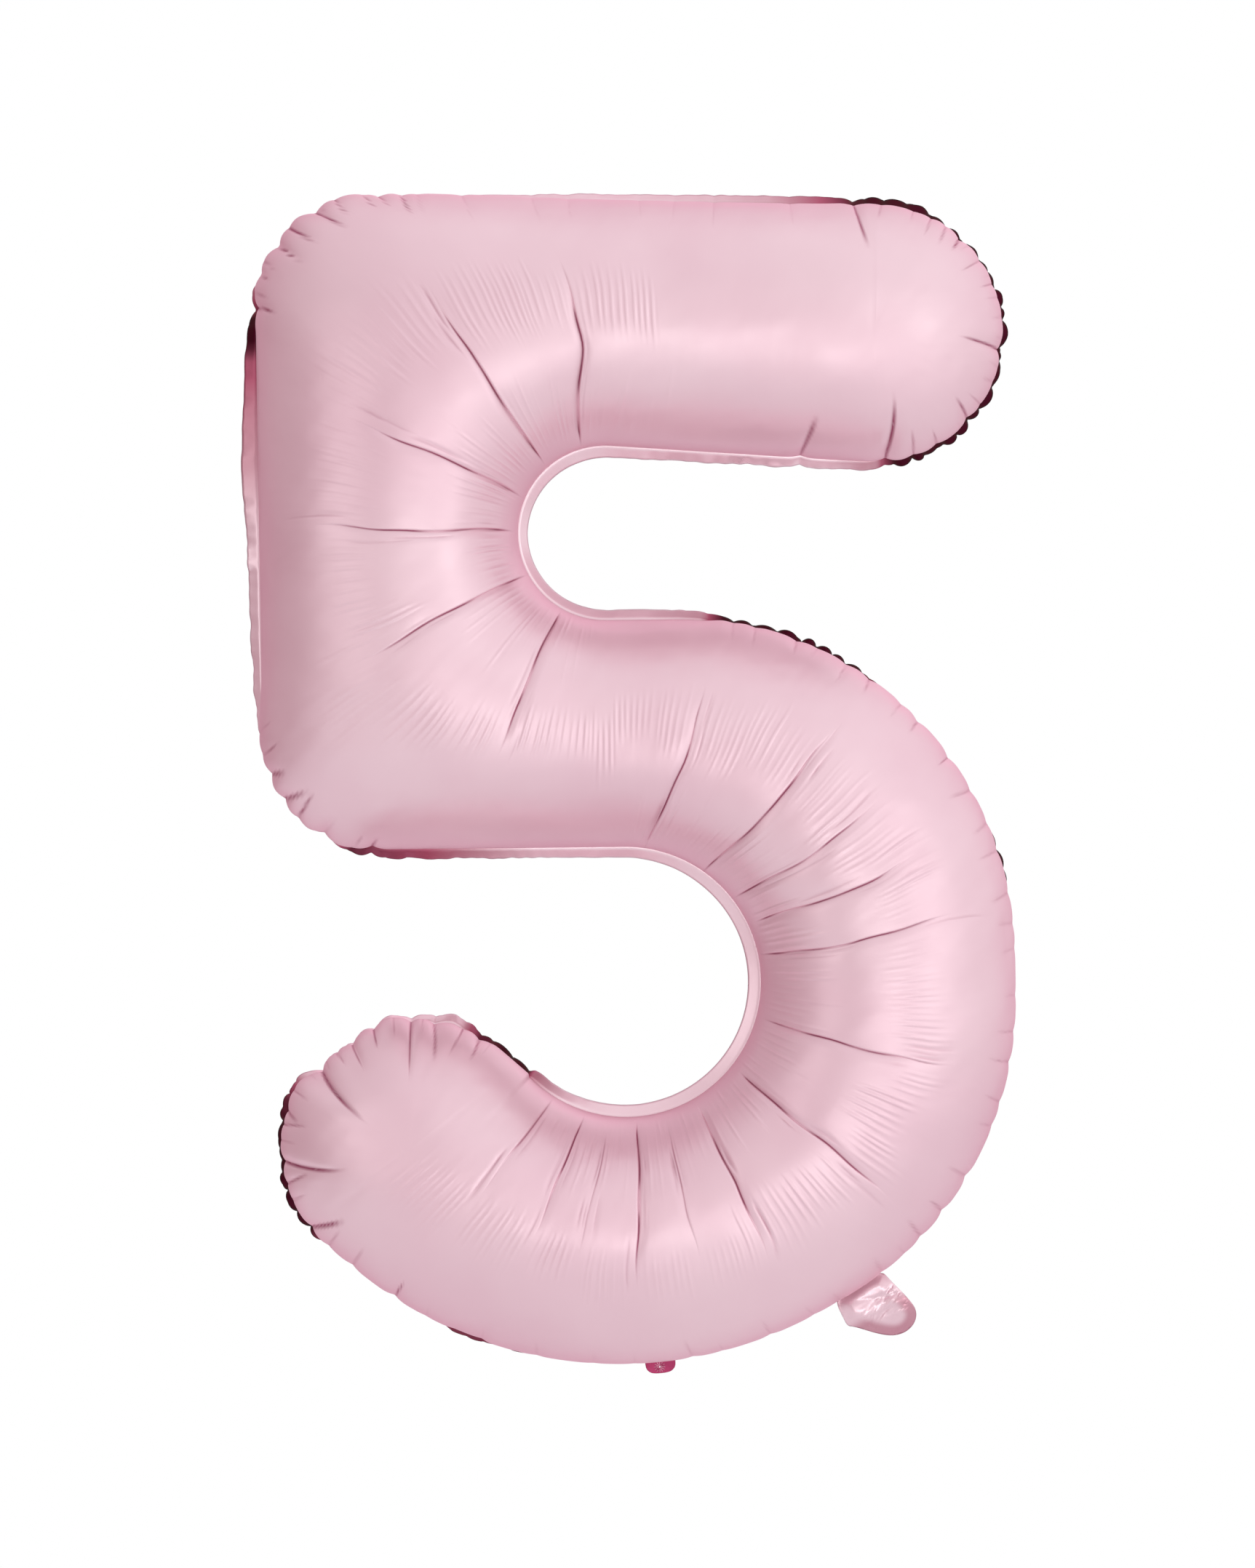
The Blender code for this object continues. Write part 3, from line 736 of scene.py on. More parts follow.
class Film:
    """The wrinkled surface of one film of the envelope, before it gets its thickness."""

    def __init__(self, side, row_step, sectors, seed, solution, puckers):
        self.side = side
        self.creases = creases_of(seed)
        rows = row_stations(self.creases, row_step)
        self.sheet = Sheet(rows, lean_field(self.creases), sectors)
        self.height = heights(self.sheet, solution)
        self.smooth_points = self.place(self.height)
        self.normals = self.surface_normals(self.smooth_points)
        self.set_coordinates()
        rng = np.random.default_rng(seed + 100)
        drawn, folded, painted_pucker_shade = puckers.relief(self.weld_place, self.inward)
        drawn = drawn + self.groove() + dent_depth(self.weld_place, self.inward)
        raised = self.crease_relief() + self.ripple_relief(rng) + self.gather_relief(rng)
        soft = SOFT_HEIGHT * wave_noise(self.smooth_points, SOFT_WAVE, seed)
        fine = FINE_HEIGHT * wave_noise(self.smooth_points, FINE_WAVE, seed + 1)
        calm = smooth(self.inward, 0.0, 0.007)
        shift = (raised + soft + fine) * calm - folded * smooth(self.inward, 0.0, 0.003) - drawn
        self.points = self.smooth_points + self.normals * shift[:, None]
        # the puckers' painted shade joins that of the creases
        self.painted_fold_shade = np.maximum(self.painted_fold_shade, painted_pucker_shade)
        self.points[self.sheet.rim(), 1] = side * FILM_LEVEL

    def groove(self):
        """How far the film is drawn in beside the weld, and swells out farther from it."""
        swell = FRONT_SWELL if self.side < 0 else BACK_SWELL
        rise = smooth(self.height, 0, GROOVE_HEIGHT)
        swell = swell * rise * (1 - smooth(self.height, GROOVE_HEIGHT, SWELL_HEIGHT))
        return gathered(self.weld_place) * (GROOVE_DEPTH * (1 - rise) - swell)

    def place(self, height):
        x, z = self.sheet.points.T
        return np.stack((x, self.side * (FILM_LEVEL + height), z), axis=1)

    def surface_normals(self, points):
        """Outward normals, which at the rim lie in the weld plane."""
        triangles = self.sheet.triangle_list()
        corner = points[triangles]
        faces = np.cross(corner[:, 1] - corner[:, 0], corner[:, 2] - corner[:, 0])
        normals = np.zeros(points.shape)
        for turn in range(3):
            for axis in range(3):
                normals[:, axis] += np.bincount(triangles[:, turn], faces[:, axis], len(points))
        middle = self.sheet.strip_index()[:, RINGS]
        if np.sign(normals[middle, 1].sum()) != self.side:
            normals = -normals
        rim = self.sheet.rim()
        runs = np.roll(points[rim], -1, axis=0) - np.roll(points[rim], 1, axis=0)
        normals[rim] = np.stack((-runs[:, 2], 0 * runs[:, 0], runs[:, 0]), axis=1)
        return normals / np.linalg.norm(normals, axis=1)[:, None]

    def set_coordinates(self):
        """Places along the weld and distances in from it, and strip coordinates, per vertex."""
        sheet = self.sheet
        s = np.broadcast_to(sheet.rows[:, None], sheet.strip_s.shape)
        across = np.broadcast_to(ACROSS, s.shape)
        left, right = chord_ends(sheet.strip_s)
        width = np.linalg.norm(right - left, axis=2)
        places = [np.interp(sheet.strip_s, TABLE_S, TABLE_PLACES[:, side]) for side in (0, 1)]
        weld = np.where(across < 0.5, places[0], places[1])
        inward = np.minimum(across, 1 - across) * width
        weld_caps, inward_caps = [], []
        for middle, rim, spots in sheet.ends:
            reach = np.linalg.norm(rim - middle, axis=1)[1:-1, None]
            weld_caps.append(np.broadcast_to(spots[1:-1, None], (len(reach), RINGS)))
            inward_caps.append(2 * ACROSS[:RINGS] * reach)
        self.weld_place = sheet.spread(weld, weld_caps)
        self.inward = sheet.spread(inward, inward_caps)
        self.s, self.f = s, share_from_inside(s, across)
        inner_radius = np.where(s < BEND_CHANGE, -UPPER_NOTCH[2], -LOWER_NOTCH[2])
        crown = np.where(s < BEND_CHANGE, UPPER_CROWN, LOWER_CROWN)
        self.spread_factor = (inner_radius + self.f * width) / crown

    def on_strip(self, field):
        """A field over the strip, with zero on both caps."""
        sheet = self.sheet
        empty = np.zeros((sheet.sectors - 1, RINGS))
        return sheet.spread(field, (empty, empty))

    def crease_relief(self):
        total = np.zeros(self.s.shape)
        lines = np.zeros(self.s.shape)
        for crease in self.creases:
            away = (self.s - crease.s) * self.spread_factor
            rise = smooth(self.f, crease.start - 0.02, crease.start + 0.045)
            fold = rise * (1 - smooth(self.f, crease.end - 0.26, crease.end))
            valley = smooth(self.f, crease.start - 0.05, crease.start + 0.20)
            valley = valley * (1 - smooth(self.f, crease.end - 0.45, crease.end + 0.05))
            width = VALLEY_WIDTH * np.clip(self.spread_factor, 0.45, 1.2)
            depth = crease.strength * CREASE_DEPTH * fold
            total -= depth * lapped(crease.lap * away, STEEP_WIDTH, EASY_WIDTH)
            total -= crease.strength * VALLEY_DEPTH * valley * cusp(away, width)
            # painted shade: a dark line along the bottom of each fold
            dark = np.clip(1.3 * crease.strength * fold, 0, 1) * crease.painted_line_shade(self.f)
            lines += dark * line(away, PAINTED_FOLD_SHADE_WIDTH)
            self.side_folds(total, lines, crease)
        self.painted_fold_shade = self.on_strip(np.clip(lines, 0, 1))
        return self.on_strip(total)

    def side_folds(self, total, lines, crease):
        """Short folds that run beside a crease for part of its length."""
        rng = np.random.default_rng(int(1e5 * crease.s))
        rows = self.sheet.rows
        for _ in range(SIDE_FOLDS):
            side = 1 if rng.uniform() < 0.5 else -1
            s = crease.s + side * rng.uniform(0.0022, 0.0085)
            low = rng.uniform(crease.start, crease.end - 0.12)
            high = low + rng.uniform(0.10, 0.28)
            drift = rng.uniform(-0.006, 0.006)
            size = SIDE_FOLD_DEPTH * rng.uniform(0.4, 1.2)
            part = slice(*np.searchsorted(rows, (s - 0.016, s + 0.016)))
            f = self.f[part]
            away = (self.s[part] - s - drift * (f - low)) * self.spread_factor[part]
            window = smooth(f, low, low + 0.06) * smooth(high - f, 0, 0.06)
            total[part] -= size * window * lapped(side * away, SIDE_FOLD_STEEP, SIDE_FOLD_EASY)
            # painted shade along the side fold's line
            lines[part] += SIDE_FOLD_PAINTED_SHADE * size * window * line(away, PAINTED_FOLD_SHADE_WIDTH)

    def fine_line(self, total, s, width, low, high, height):
        """Adds one fine ridge along a row, from one share of the width to another."""
        rows = self.sheet.rows
        reach = 2.2 * width
        part = slice(np.searchsorted(rows, s - reach), np.searchsorted(rows, s + reach))
        away = (self.s[part] - s) * self.spread_factor[part]
        ends = 0.35 * (high - low)
        window = smooth(self.f[part], low, low + ends) * smooth(high - self.f[part], 0, ends)
        total[part] += height * window * (cusp(away, width) - 0.5 * cusp(away, 2 * width))

    def ripple_relief(self, rng):
        """Fine parallel ripples between the creases, in groups of like length."""
        total = np.zeros(self.s.shape)
        places = np.array([crease.s for crease in self.creases])
        here = places[0] - 0.055
        middle, half, height = 0.56, 0.16, 1.0
        while here < places[-1] + 0.05:
            if rng.uniform() < 0.10:
                middle, half = rng.uniform(0.50, 0.66), rng.uniform(0.09, 0.20)
                height = rng.uniform(0.5, 1.25)
            clear = smooth(np.abs(places - here).min(), 0.002, 0.010)
            low = middle - half * rng.uniform(0.7, 1.2)
            high = middle + half * rng.uniform(0.7, 1.2)
            size = RIPPLE_HEIGHT * height * clear * rng.uniform(0.5, 1.2)
            self.fine_line(total, here, 0.45 * RIPPLE_PITCH, low, high, size)
            here += RIPPLE_PITCH * rng.uniform(0.6, 1.35)
        return self.on_strip(total)

    def gather_relief(self, rng):
        """Small gathers where the film is drawn tight round the inner side of a bend."""
        total = np.zeros(self.s.shape)
        here = UPPER_FROM - 0.05
        while here < STROKE_END - 0.05:
            bridge = smooth(here, BRIDGE_FROM - 0.03, BRIDGE_FROM)
            bridge = bridge * smooth(LOWER_FROM + 0.05 - here, 0, 0.05)
            size = GATHER_HEIGHT * rng.uniform(0.25, 1.1) * (1 - bridge)
            low = rng.uniform(0.0, 0.03)
            self.fine_line(total, here, GATHER_WIDTH, low, low + rng.uniform(0.10, 0.32), size)
            here += GATHER_PITCH * rng.uniform(0.6, 1.4)
        return self.on_strip(total)

    def object(self, name, thickness, look):
        quads, triangles = self.sheet.faces
        faces = [tuple(face) for face in quads] + [tuple(face) for face in triangles]
        mesh = bpy.data.meshes.new(name)
        mesh.from_pydata(self.points.tolist(), [], faces)
        mesh.update()
        middle = mesh.vertices[int(self.sheet.strip_index()[0, RINGS])]
        if middle.normal.y * self.side < 0:
            mesh.flip_normals()
        # painted shade along the fold lines, for the material to read
        mark(mesh, "fold", self.painted_fold_shade)
        made = linked(name, mesh, look)
        thicken(made, thickness, -1)
        return made


# ---------------------------------------------------------------- welded margin
MARGIN_WIDTH = 0.010
MARGIN_FILM = 0.0003
MARGIN_STEP = 0.0011
MARGIN_SECTION = (-0.0016, 0, 0.0006, 0.0013, 0.0022, 0.0036, 0.0052, 0.0068, 0.0084, MARGIN_WIDTH)
MARGIN_TURN = 0.0024  # it turns back within this distance of the weld
FLANGE = (-0.29, 0.66)  # the middle of the broadest part, on the left
FLANGE_HALF = 0.075
FLANGE_WIDER = 0.28
PLEAT_PITCH = 0.0145
TAIL_WIDTH = 0.042
TAB_WIDTH = 0.022
CUT_GAP = 0.0006
TAIL_ANGLE = -56.5
HIDDEN = 76  # degrees back, where the swell of the film covers it
PLEAT_FOLD = 38  # degrees that a pleat stands out
DRIFT_FOLD = 12
FLUTTER_FOLD = 8
ROLL_FOLD = 22
MOST_FOLD = 88

# How the margin lies, clockwise: the place, how far it is folded back in degrees, how wavy it is,
# how strongly it is pleated, and how dark the painted shade on it is where it turns away into
# shadow.
MARGIN_STATES = (
    (BODY_CORNER, 184, HIDDEN, 0.0, 0.2, 0.0),
    (BODY_CORNER, 176, 66, 0.6, 0.2, 0.0),
    (-0.29, 0.56, 36, 0.8, 0.0, 0.0),
    (-0.29, 0.615, 26, 0.9, 0.0, 0.04),
    (-0.29, 0.66, 20, 0.6, 0.0, 0.30),
    (-0.29, 0.70, 22, 0.5, 0.0, 0.40),
    (-0.29, 0.737, 26, 0.4, 0.0, 0.55),
    (-0.29, 0.745, 40, 0.3, 0.1, 0.90),
    (-0.29, 0.752, 52, 0.2, 0.2, 1.0),
    (-0.29, 0.768, 60, 0.2, 0.3, 1.0),
    (TOP_LEFT_CORNER, 176, 66, 0.2, 0.4, 0.5),
    (TOP_LEFT_CORNER, 163, 70, 0.1, 0.3, 0.3),
    (TOP_LEFT_CORNER, 150, HIDDEN, 0.0, 0.1, 0.1),
    (TOP_LEFT_CORNER, 92, HIDDEN, 0.0, 0.1, 0.0),
    (-0.15, 0.86, 66, 0.3, 0.0, 0.0),
    (-0.05, 0.86, 58, 0.4, 0.0, 0.03),
    (0.02, 0.86, 56, 0.3, 0.0, 0.10),
    (0.08, 0.86, 54, 0.3, 0.0, 0.24),
    (0.118, 0.86, 56, 0.2, 0.0, 0.50),
    (BAR_END, 98, 60, 0.2, 0.2, 0.95),
    (BAR_END, 92, 60, 0.1, 0.8, 1.0),
    (BAR_END, 68, 60, 0.1, 1.0, 1.0),
    (BAR_END, 54, 70, 0.0, 0.6, 1.0),
    (BAR_END, 25, 67, 0.0, 0.9, 1.0),
    (BAR_END, 0, 70, 0.0, 1.0, 1.0),
    (BAR_END, -60, 68, 0.0, 1.0, 1.0),
    (BAR_END, -80, 68, 0.2, 0.8, 1.0),
    (BAR_END, -88, 60, 0.3, 0.2, 0.3),
    (0.120, 0.66, 52, 0.8, 0.1, 0.0),
    (0.060, 0.67, 46, 0.9, 0.0, 0.0),
    (0.0, 0.675, 40, 0.5, 0.0, 0.0),
    (UPPER_NOTCH, 110, 28, 0.0, 0.0, 0.0),
    (UPPER_NOTCH, 180, 50, 0.0, 0.0, 0.0),
    (UPPER_NOTCH, 250, 42, 0.1, 0.0, 0.0),
    (-0.010, 0.547, 44, 0.5, 0.0, 0.0),
    (0.030, 0.547, 54, 0.4, 0.2, 0.2),
    (BOWL_SHOULDER, 82, 66, 0.0, 0.6, 1.0),
    (BOWL_SHOULDER, 72, 70, 0.0, 1.0, 1.0),
    (BOWL_SHOULDER, 57, 70, 0.0, 0.9, 1.0),
    (BOWL_SHOULDER, 52, HIDDEN, 0.0, 0.1, 0.6),
    (BOWL_SHOULDER, 40, HIDDEN, 0.0, 0.1, 0.25),
    (BOWL_SHOULDER, 30, HIDDEN, 0.0, 0.1, 0.25),
    (BOWL_SHOULDER, 23, HIDDEN, 0.0, 0.1, 0.6),
    (BOWL_SHOULDER, 19, 70, 0.0, 0.4, 1.0),
    (BOWL_SHOULDER, 13, 70, 0.0, 0.4, 1.0),
    (BOWL_SHOULDER, 9, HIDDEN, 0.0, 0.1, 0.6),
    (BOWL_CORNER, -10, HIDDEN, 0.0, 0.1, 0.1),
    (BOWL_CORNER, -50, HIDDEN, 0.0, 0.1, 0.0),
    (BOWL_BOTTOM, -91, HIDDEN, 0.0, 0.1, 0.1),
    (BOWL_BOTTOM, -98, HIDDEN, 0.0, 0.1, 0.5),
    (BOWL_BOTTOM, -101, 68, 0.0, 0.3, 0.9),
    (BOWL_BOTTOM, -105, 69, 0.0, 0.3, 0.9),
    (BOWL_BOTTOM, -107, HIDDEN, 0.0, 0.2, 0.6),
    (BOWL_BOTTOM, -109.5, 62, 0.0, 0.3, 0.8),
    (BOWL_BOTTOM, -113.5, 63, 0.0, 0.3, 0.8),
    (BOWL_BOTTOM, -117, HIDDEN, 0.0, 0.1, 0.4),
    (LOWER_END, -128, HIDDEN, 0.0, 0.1, 0.6),
    (LOWER_END, -140, 66, 0.0, 0.9, 1.0),
    (LOWER_END, 172, 67, 0.0, 1.0, 1.0),
    (LOWER_END, 160, 66, 0.2, 0.9, 0.9),
    (LOWER_END, 146, 66, 0.3, 0.4, 0.1),
    (LOWER_END, 138, HIDDEN, 0.0, 0.3, 0.0),
    (LOWER_END, 95, HIDDEN, 0.0, 0.3, 0.0),
    (LOWER_END, 80, 60, 0.6, 0.3, 0.0),
    (LOWER_END, 68, 58, 0.5, 0.3, 0.1),
    (LOWER_END, 58, 66, 0.2, 0.8, 0.9),
    (LOWER_END, 46, 69, 0.0, 1.0, 1.0),
    (LOWER_END, 30, 68, 0.0, 0.8, 1.0),
    (LOWER_NOTCH, -135, 56, 0.3, 0.2, 0.4),
    (LOWER_NOTCH, -118, 42, 0.3, 0.0, 0.0),
    (LOWER_NOTCH, -100, 32, 0.1, 0.0, 0.0),
    (LOWER_NOTCH, -50, 24, 0.0, 0.0, 0.0),
    (LOWER_NOTCH, 0, 21, 0.0, 0.0, 0.0),
    (LOWER_NOTCH, 50, 26, 0.0, 0.0, 0.0),
    (LOWER_NOTCH, 90, 42, 0.2, 0.0, 0.0),
    (-0.090, 0.38, 46, 0.6, 0.0, 0.0),
    (-0.150, 0.38, 50, 0.9, 0.1, 0.4),
    (BODY_CORNER, 267, 56, 0.7, 0.3, 0.7),
    (BODY_CORNER, 256, 66, 0.4, 0.4, 0.9),
    (BODY_CORNER, 246, 72, 0.1, 0.2, 0.1),
    (BODY_CORNER, 200, HIDDEN, 0.0, 0.1, 0.0),
)


def margin_state(places):
    """Fold angle, waviness, pleating and painted shade along the weld line, as four arrays."""
    rows = np.array(sorted(weld_rows(MARGIN_STATES)))
    knots = np.concatenate((rows[-1:, 0] - LOOP, rows[:, 0], rows[:1, 0] + LOOP))
    found = []
    for column in (1, 2, 3, 4):
        values = np.concatenate((rows[-1:, column], rows[:, column], rows[:1, column]))
        found.append(np.interp(places, knots, values))
    return found


def pleats(places, rng):
    """Rounded lobes with sharp dips between them, 0 to 1, at uneven spacing along the weld line."""
    dips = [0.0]
    while dips[-1] < LOOP - 1.6 * PLEAT_PITCH:
        dips.append(dips[-1] + PLEAT_PITCH * rng.uniform(0.6, 1.4))
    dips.append(LOOP)
    index = np.interp(places, dips, np.arange(len(dips)))
    sizes = rng.uniform(0.3, 1.0, len(dips))
    return np.abs(np.sin(math.pi * index)) ** 0.7 * sizes[index.astype(int)]


def loop_noise(places, wavelength, rng):
    """Smooth noise of about unit size that closes on itself round the weld line."""
    turns = round(LOOP / wavelength)
    total = np.zeros(places.shape)
    for harmonic in range(max(1, turns // 3), turns + turns // 2):
        size = rng.normal()
        start = rng.uniform(0, 6.3)
        total += size * np.sin(2 * math.pi * harmonic * places / LOOP + start)
    return total / np.abs(total).max()


def outline_at(places):
    """Points of the weld line and its outward normals, at distances along it."""
    closed = np.vstack((OUTLINE, OUTLINE[:1]))
    spots = [np.interp(places, OUTLINE_LENGTHS, closed[:, axis]) for axis in (0, 1)]
    spots = np.stack(spots, axis=1)
    runs = np.roll(spots, -1, axis=0) - np.roll(spots, 1, axis=0)
    outward = np.stack((-runs[:, 1], runs[:, 0]), axis=1)
    return spots, outward / np.linalg.norm(outward, axis=1)[:, None]


def weld_margin(puckers, look):
    """The welded border of both films, flat in the notches and gathered back round the ends."""
    rng = np.random.default_rng(MARGIN_SEED)
    count = round(LOOP / MARGIN_STEP)
    places = np.arange(count) * LOOP / count
    spots, outward = outline_at(places)
    fold, wave, pleating, shade = margin_state(places)
    lobes = pleats(places, rng)
    drift = loop_noise(places, 0.045, rng)
    flutter = loop_noise(places, 0.014, rng)
    turned = fold - PLEAT_FOLD * pleating * lobes
    turned = turned + wave * (DRIFT_FOLD * drift + FLUTTER_FOLD * flutter)
    turned = np.radians(np.clip(turned, 0, MOST_FOLD))
    rolled = np.radians(wave * ROLL_FOLD * loop_noise(places, 0.03, rng))
    sunk = puckers.drawn_at_weld(places)
    sunk = sunk + GROOVE_DEPTH * gathered(places) + dent_depth(places, 0)
    roots = spots - outward * sunk[:, None]
    broad = 1 + FLANGE_WIDER * smooth(1 - np.abs(places - weld_near(*FLANGE)) / FLANGE_HALF, 0, 1)
    columns = []
    before = MARGIN_SECTION[0]
    out, back = np.full(count, before), np.zeros(count)
    for reach in MARGIN_SECTION:
        middle = (before + reach) / 2
        angle = turned * smooth(middle, 0, MARGIN_TURN)
        angle = angle + rolled * smooth(middle, MARGIN_TURN, MARGIN_WIDTH)
        out = out + broad * (reach - before) * np.cos(angle)
        back = back + broad * (reach - before) * np.sin(angle)
        before = reach
        spot = roots + out[:, None] * outward
        columns.append(np.stack((spot[:, 0], back, spot[:, 1]), axis=1))
    points = np.stack(columns, axis=1)
    across = len(MARGIN_SECTION)
    index = np.arange(count * across).reshape(count, across)
    following = np.roll(index, -1, axis=0)
    quads = np.stack((index[:, :-1], index[:, 1:], following[:, 1:], following[:, :-1]), axis=-1)
    kept = ~in_cut(places) & ~np.roll(in_cut(places), -1)
    used, quads = np.unique(quads[kept], return_inverse=True)
    mesh = bpy.data.meshes.new("weld_margin")
    mesh.from_pydata(points.reshape(-1, 3)[used].tolist(), [], quads.reshape(-1, 4).tolist())
    # painted shade on the margin where it is folded back, for the material to read
    mark(mesh, "painted_margin_shade", np.repeat(shade, across)[used])
    made = linked("weld_margin", mesh, look)
    thicken(made, MARGIN_FILM, 0)
    return made


TAIL_PLACE = weld_place(BOWL_CORNER, TAIL_ANGLE)
TAB_PLACE = weld_near(0.0, 0.0)
CUTS = ((TAIL_PLACE, TAIL_WIDTH / 2 + CUT_GAP), (TAB_PLACE, TAB_WIDTH / 2 + CUT_GAP))


def in_cut(places):
    """Whether a place along the weld line is where the tail or the tab comes out."""
    inside = np.zeros(len(places), dtype=bool)
    for middle, half in CUTS:
        inside |= np.abs((places - middle + LOOP / 2) % LOOP - LOOP / 2) < half
    return inside


# ---------------------------------------------------------------- tail and tab
class Root:
    """Where a tail or tab leaves the weld line: its point, the way out of it and the way along."""

    def __init__(self, place):
        spots, outward = outline_at(np.array((place - 0.001, place, place + 0.001)))
        self.spot = spots[1]
        self.out = outward[1]
        self.along = np.array((-outward[1][1], outward[1][0]))

    def at(self, out, y):
        spot = self.spot + out * self.out
        return (spot[0], y, spot[1])


def rounded(corners, rounds=4):
    """A closed outline with its corners cut off again and again, which rounds them."""
    points = np.array(corners)
    for _ in range(rounds):
        following = np.roll(points, -1, axis=0)
        pair = (0.75 * points + 0.25 * following, 0.25 * points + 0.75 * following)
        points = np.stack(pair, axis=1).reshape(-1, 2)
    return points


def resampled(loop, step):
    closed = np.vstack((loop, loop[:1]))
    lengths = np.concatenate(((0,), np.cumsum(np.linalg.norm(np.diff(closed, axis=0), axis=1))))
    places = np.linspace(0, lengths[-1], round(lengths[-1] / step), endpoint=False)
    return np.stack([np.interp(places, lengths, closed[:, axis]) for axis in (0, 1)], axis=1)


def flat_film(loops, step):
    """Points and triangles that fill an outline, and leave out any further loops as holes."""
    outer = resampled(loops[0], step)
    rings = [outer] + [resampled(loop, step) for loop in loops[1:]]
    low, high = outer.min(axis=0), outer.max(axis=0)
    x, y = np.meshgrid(np.arange(low[0], high[0], step), np.arange(low[1], high[1], step))
    filling = np.stack((x.ravel(), y.ravel()), axis=1)
    for ring in rings:
        filling = filling[np.linalg.norm(filling[:, None] - ring, axis=2).min(axis=1) > 0.6 * step]
    edges, start = [], 0
    for ring in rings:
        count = len(ring)
        edges.extend((start + k, start + (k + 1) % count) for k in range(count))
        start += count
    points = [Vector(p) for p in np.vstack(rings + [filling]).tolist()]
    made = delaunay_2d_cdt(points, edges, [], 2, step * 1e-3)
    spots = np.array([tuple(p) for p in made[0]])
    faces = [tuple(face) for face in made[2]]
    middles = np.array([spots[list(face)].mean(axis=0) for face in faces])
    inside = within(middles, rings[0])
    for ring in rings[1:]:
        inside &= ~within(middles, ring)
    faces = [face for face, keep in zip(faces, inside) if keep]
    used = sorted({v for face in faces for v in face})
    number = {old: new for new, old in enumerate(used)}
    return spots[used], [tuple(number[v] for v in face) for face in faces]


def within(spots, loop):
    """Whether each spot is inside a closed loop."""
    x, y = spots[:, :1], spots[:, 1:]
    x1, y1 = loop[:, 0], loop[:, 1]
    x2, y2 = np.roll(x1, -1), np.roll(y1, -1)
    spans = (y1 <= y) != (y2 <= y)
    level = np.where(y2 == y1, 1, y2 - y1)
    return (spans & (x < x1 + (y - y1) / level * (x2 - x1))).sum(axis=1) % 2 == 1


# Corners of the tail, as distances along the weld and out of it. One corner is folded under, so its
# end is slanted.
TAIL_CORNERS = (
    (-0.0190, -0.0012),
    (-0.0225, 0.0040),
    (-0.0237, 0.0140),
    (-0.0245, 0.0215),
    (-0.0205, 0.0240),
    (-0.0050, 0.0440),
    (0.0060, 0.0500),
    (0.0170, 0.0480),
    (0.0245, 0.0400),
    (0.0240, 0.0280),
    (0.0205, 0.0110),
    (0.0185, -0.0012),
)
TAIL_STEP = 0.0011
TAIL_FILM = 0.0002
TAIL_PUFF = 0.0022
TAIL_CRINKLE = 0.0018
TAIL_FOLDS = 26
TAIL_CURL = 22.0  # how fast it curls to the back towards its end


def tail_field(spots, rng):
    """Creases across a tail, 0 to 1: straight folds at random places and headings."""
    total = np.zeros(len(spots))
    for _ in range(TAIL_FOLDS):
        middle = np.array((rng.uniform(-0.017, 0.019), rng.uniform(0.012, 0.036)))
        heading = unit(math.radians(rng.normal(0, 24)))
        away = spots - middle
        along = away @ heading
        aside = away @ np.array((-heading[1], heading[0]))
        length, width = rng.uniform(0.007, 0.017), rng.uniform(0.0012, 0.0028)
        total += rng.uniform(0.3, 1.0) * np.exp(-((along / length) ** 2)) * cusp(aside, width)
    return np.clip(total, 0, 1.4)


def tail_film(name, side, root, seed, look):
    spots, faces = flat_film([rounded(TAIL_CORNERS)], TAIL_STEP)
    outline = resampled(rounded(TAIL_CORNERS), TAIL_STEP)
    from_edge = np.linalg.norm(spots[:, None] - outline, axis=2).min(axis=1)
    along, out = spots.T
    rng = np.random.default_rng(seed)
    puff = TAIL_PUFF * smooth(from_edge, 0.0006, 0.010) * smooth(out, -0.001, 0.006)
    crinkle = TAIL_CRINKLE * tail_field(spots, rng) * smooth(from_edge, 0.0, 0.004)
    crinkle = crinkle * smooth(out, 0.0, 0.008)
    depth = side * (TAIL_FILM + puff - 0.7 * crinkle)
    loose = smooth(out, 0.002, 0.018)
    slope = np.maximum(0, out - 0.35 * along - 0.018)
    curl = loose * (TAIL_CURL * slope**2 + 0.0010 * np.sin(along * 190 + 0.6))
    mesh = flat_mesh(name, root, spots, depth + curl, faces, side)
    # painted shade: deeper pink along the outer edge towards the tip, and at the root under the
    # body
    painted_edge_shade = smooth(0.011 - from_edge, 0, 0.006) * smooth(out, 0.019, 0.028)
    mark(mesh, "fold", 0.60 * painted_edge_shade + 0.35 * (1 - smooth(out, 0.003, 0.012)))
    made = linked(name, mesh, look)
    thicken(made, TAIL_FILM, -1)
    return made


def flat_mesh(name, root, spots, depth, faces, side):
    """Mesh of a film at a root, whose faces all look to the front, -1, or to the back, 1."""
    places = root.spot + spots[:, :1] * root.along + spots[:, 1:] * root.out
    mesh = bpy.data.meshes.new(name)
    mesh.from_pydata(np.stack((places[:, 0], depth, places[:, 1]), axis=1).tolist(), [], faces)
    mesh.update()
    normals = np.zeros(len(mesh.polygons) * 3)
    mesh.polygons.foreach_get("normal", normals)
    if normals[1::3].sum() * side < 0:
        mesh.flip_normals()
    return mesh


TAB_CORNERS = (
    (-0.0110, -0.0012),
    (-0.0112, 0.0050),
    (-0.0100, 0.0085),
    (-0.0060, 0.0112),
    (0.0060, 0.0112),
    (0.0100, 0.0085),
    (0.0112, 0.0050),
    (0.0110, -0.0012),
)
TAB_STEP = 0.00035
TAB_FILM = 0.0006
HOLE_RADIUS = 0.0006
HOLE_SIDES = 24
CRIMPS = 12
CRIMP_HEIGHT = 0.00030


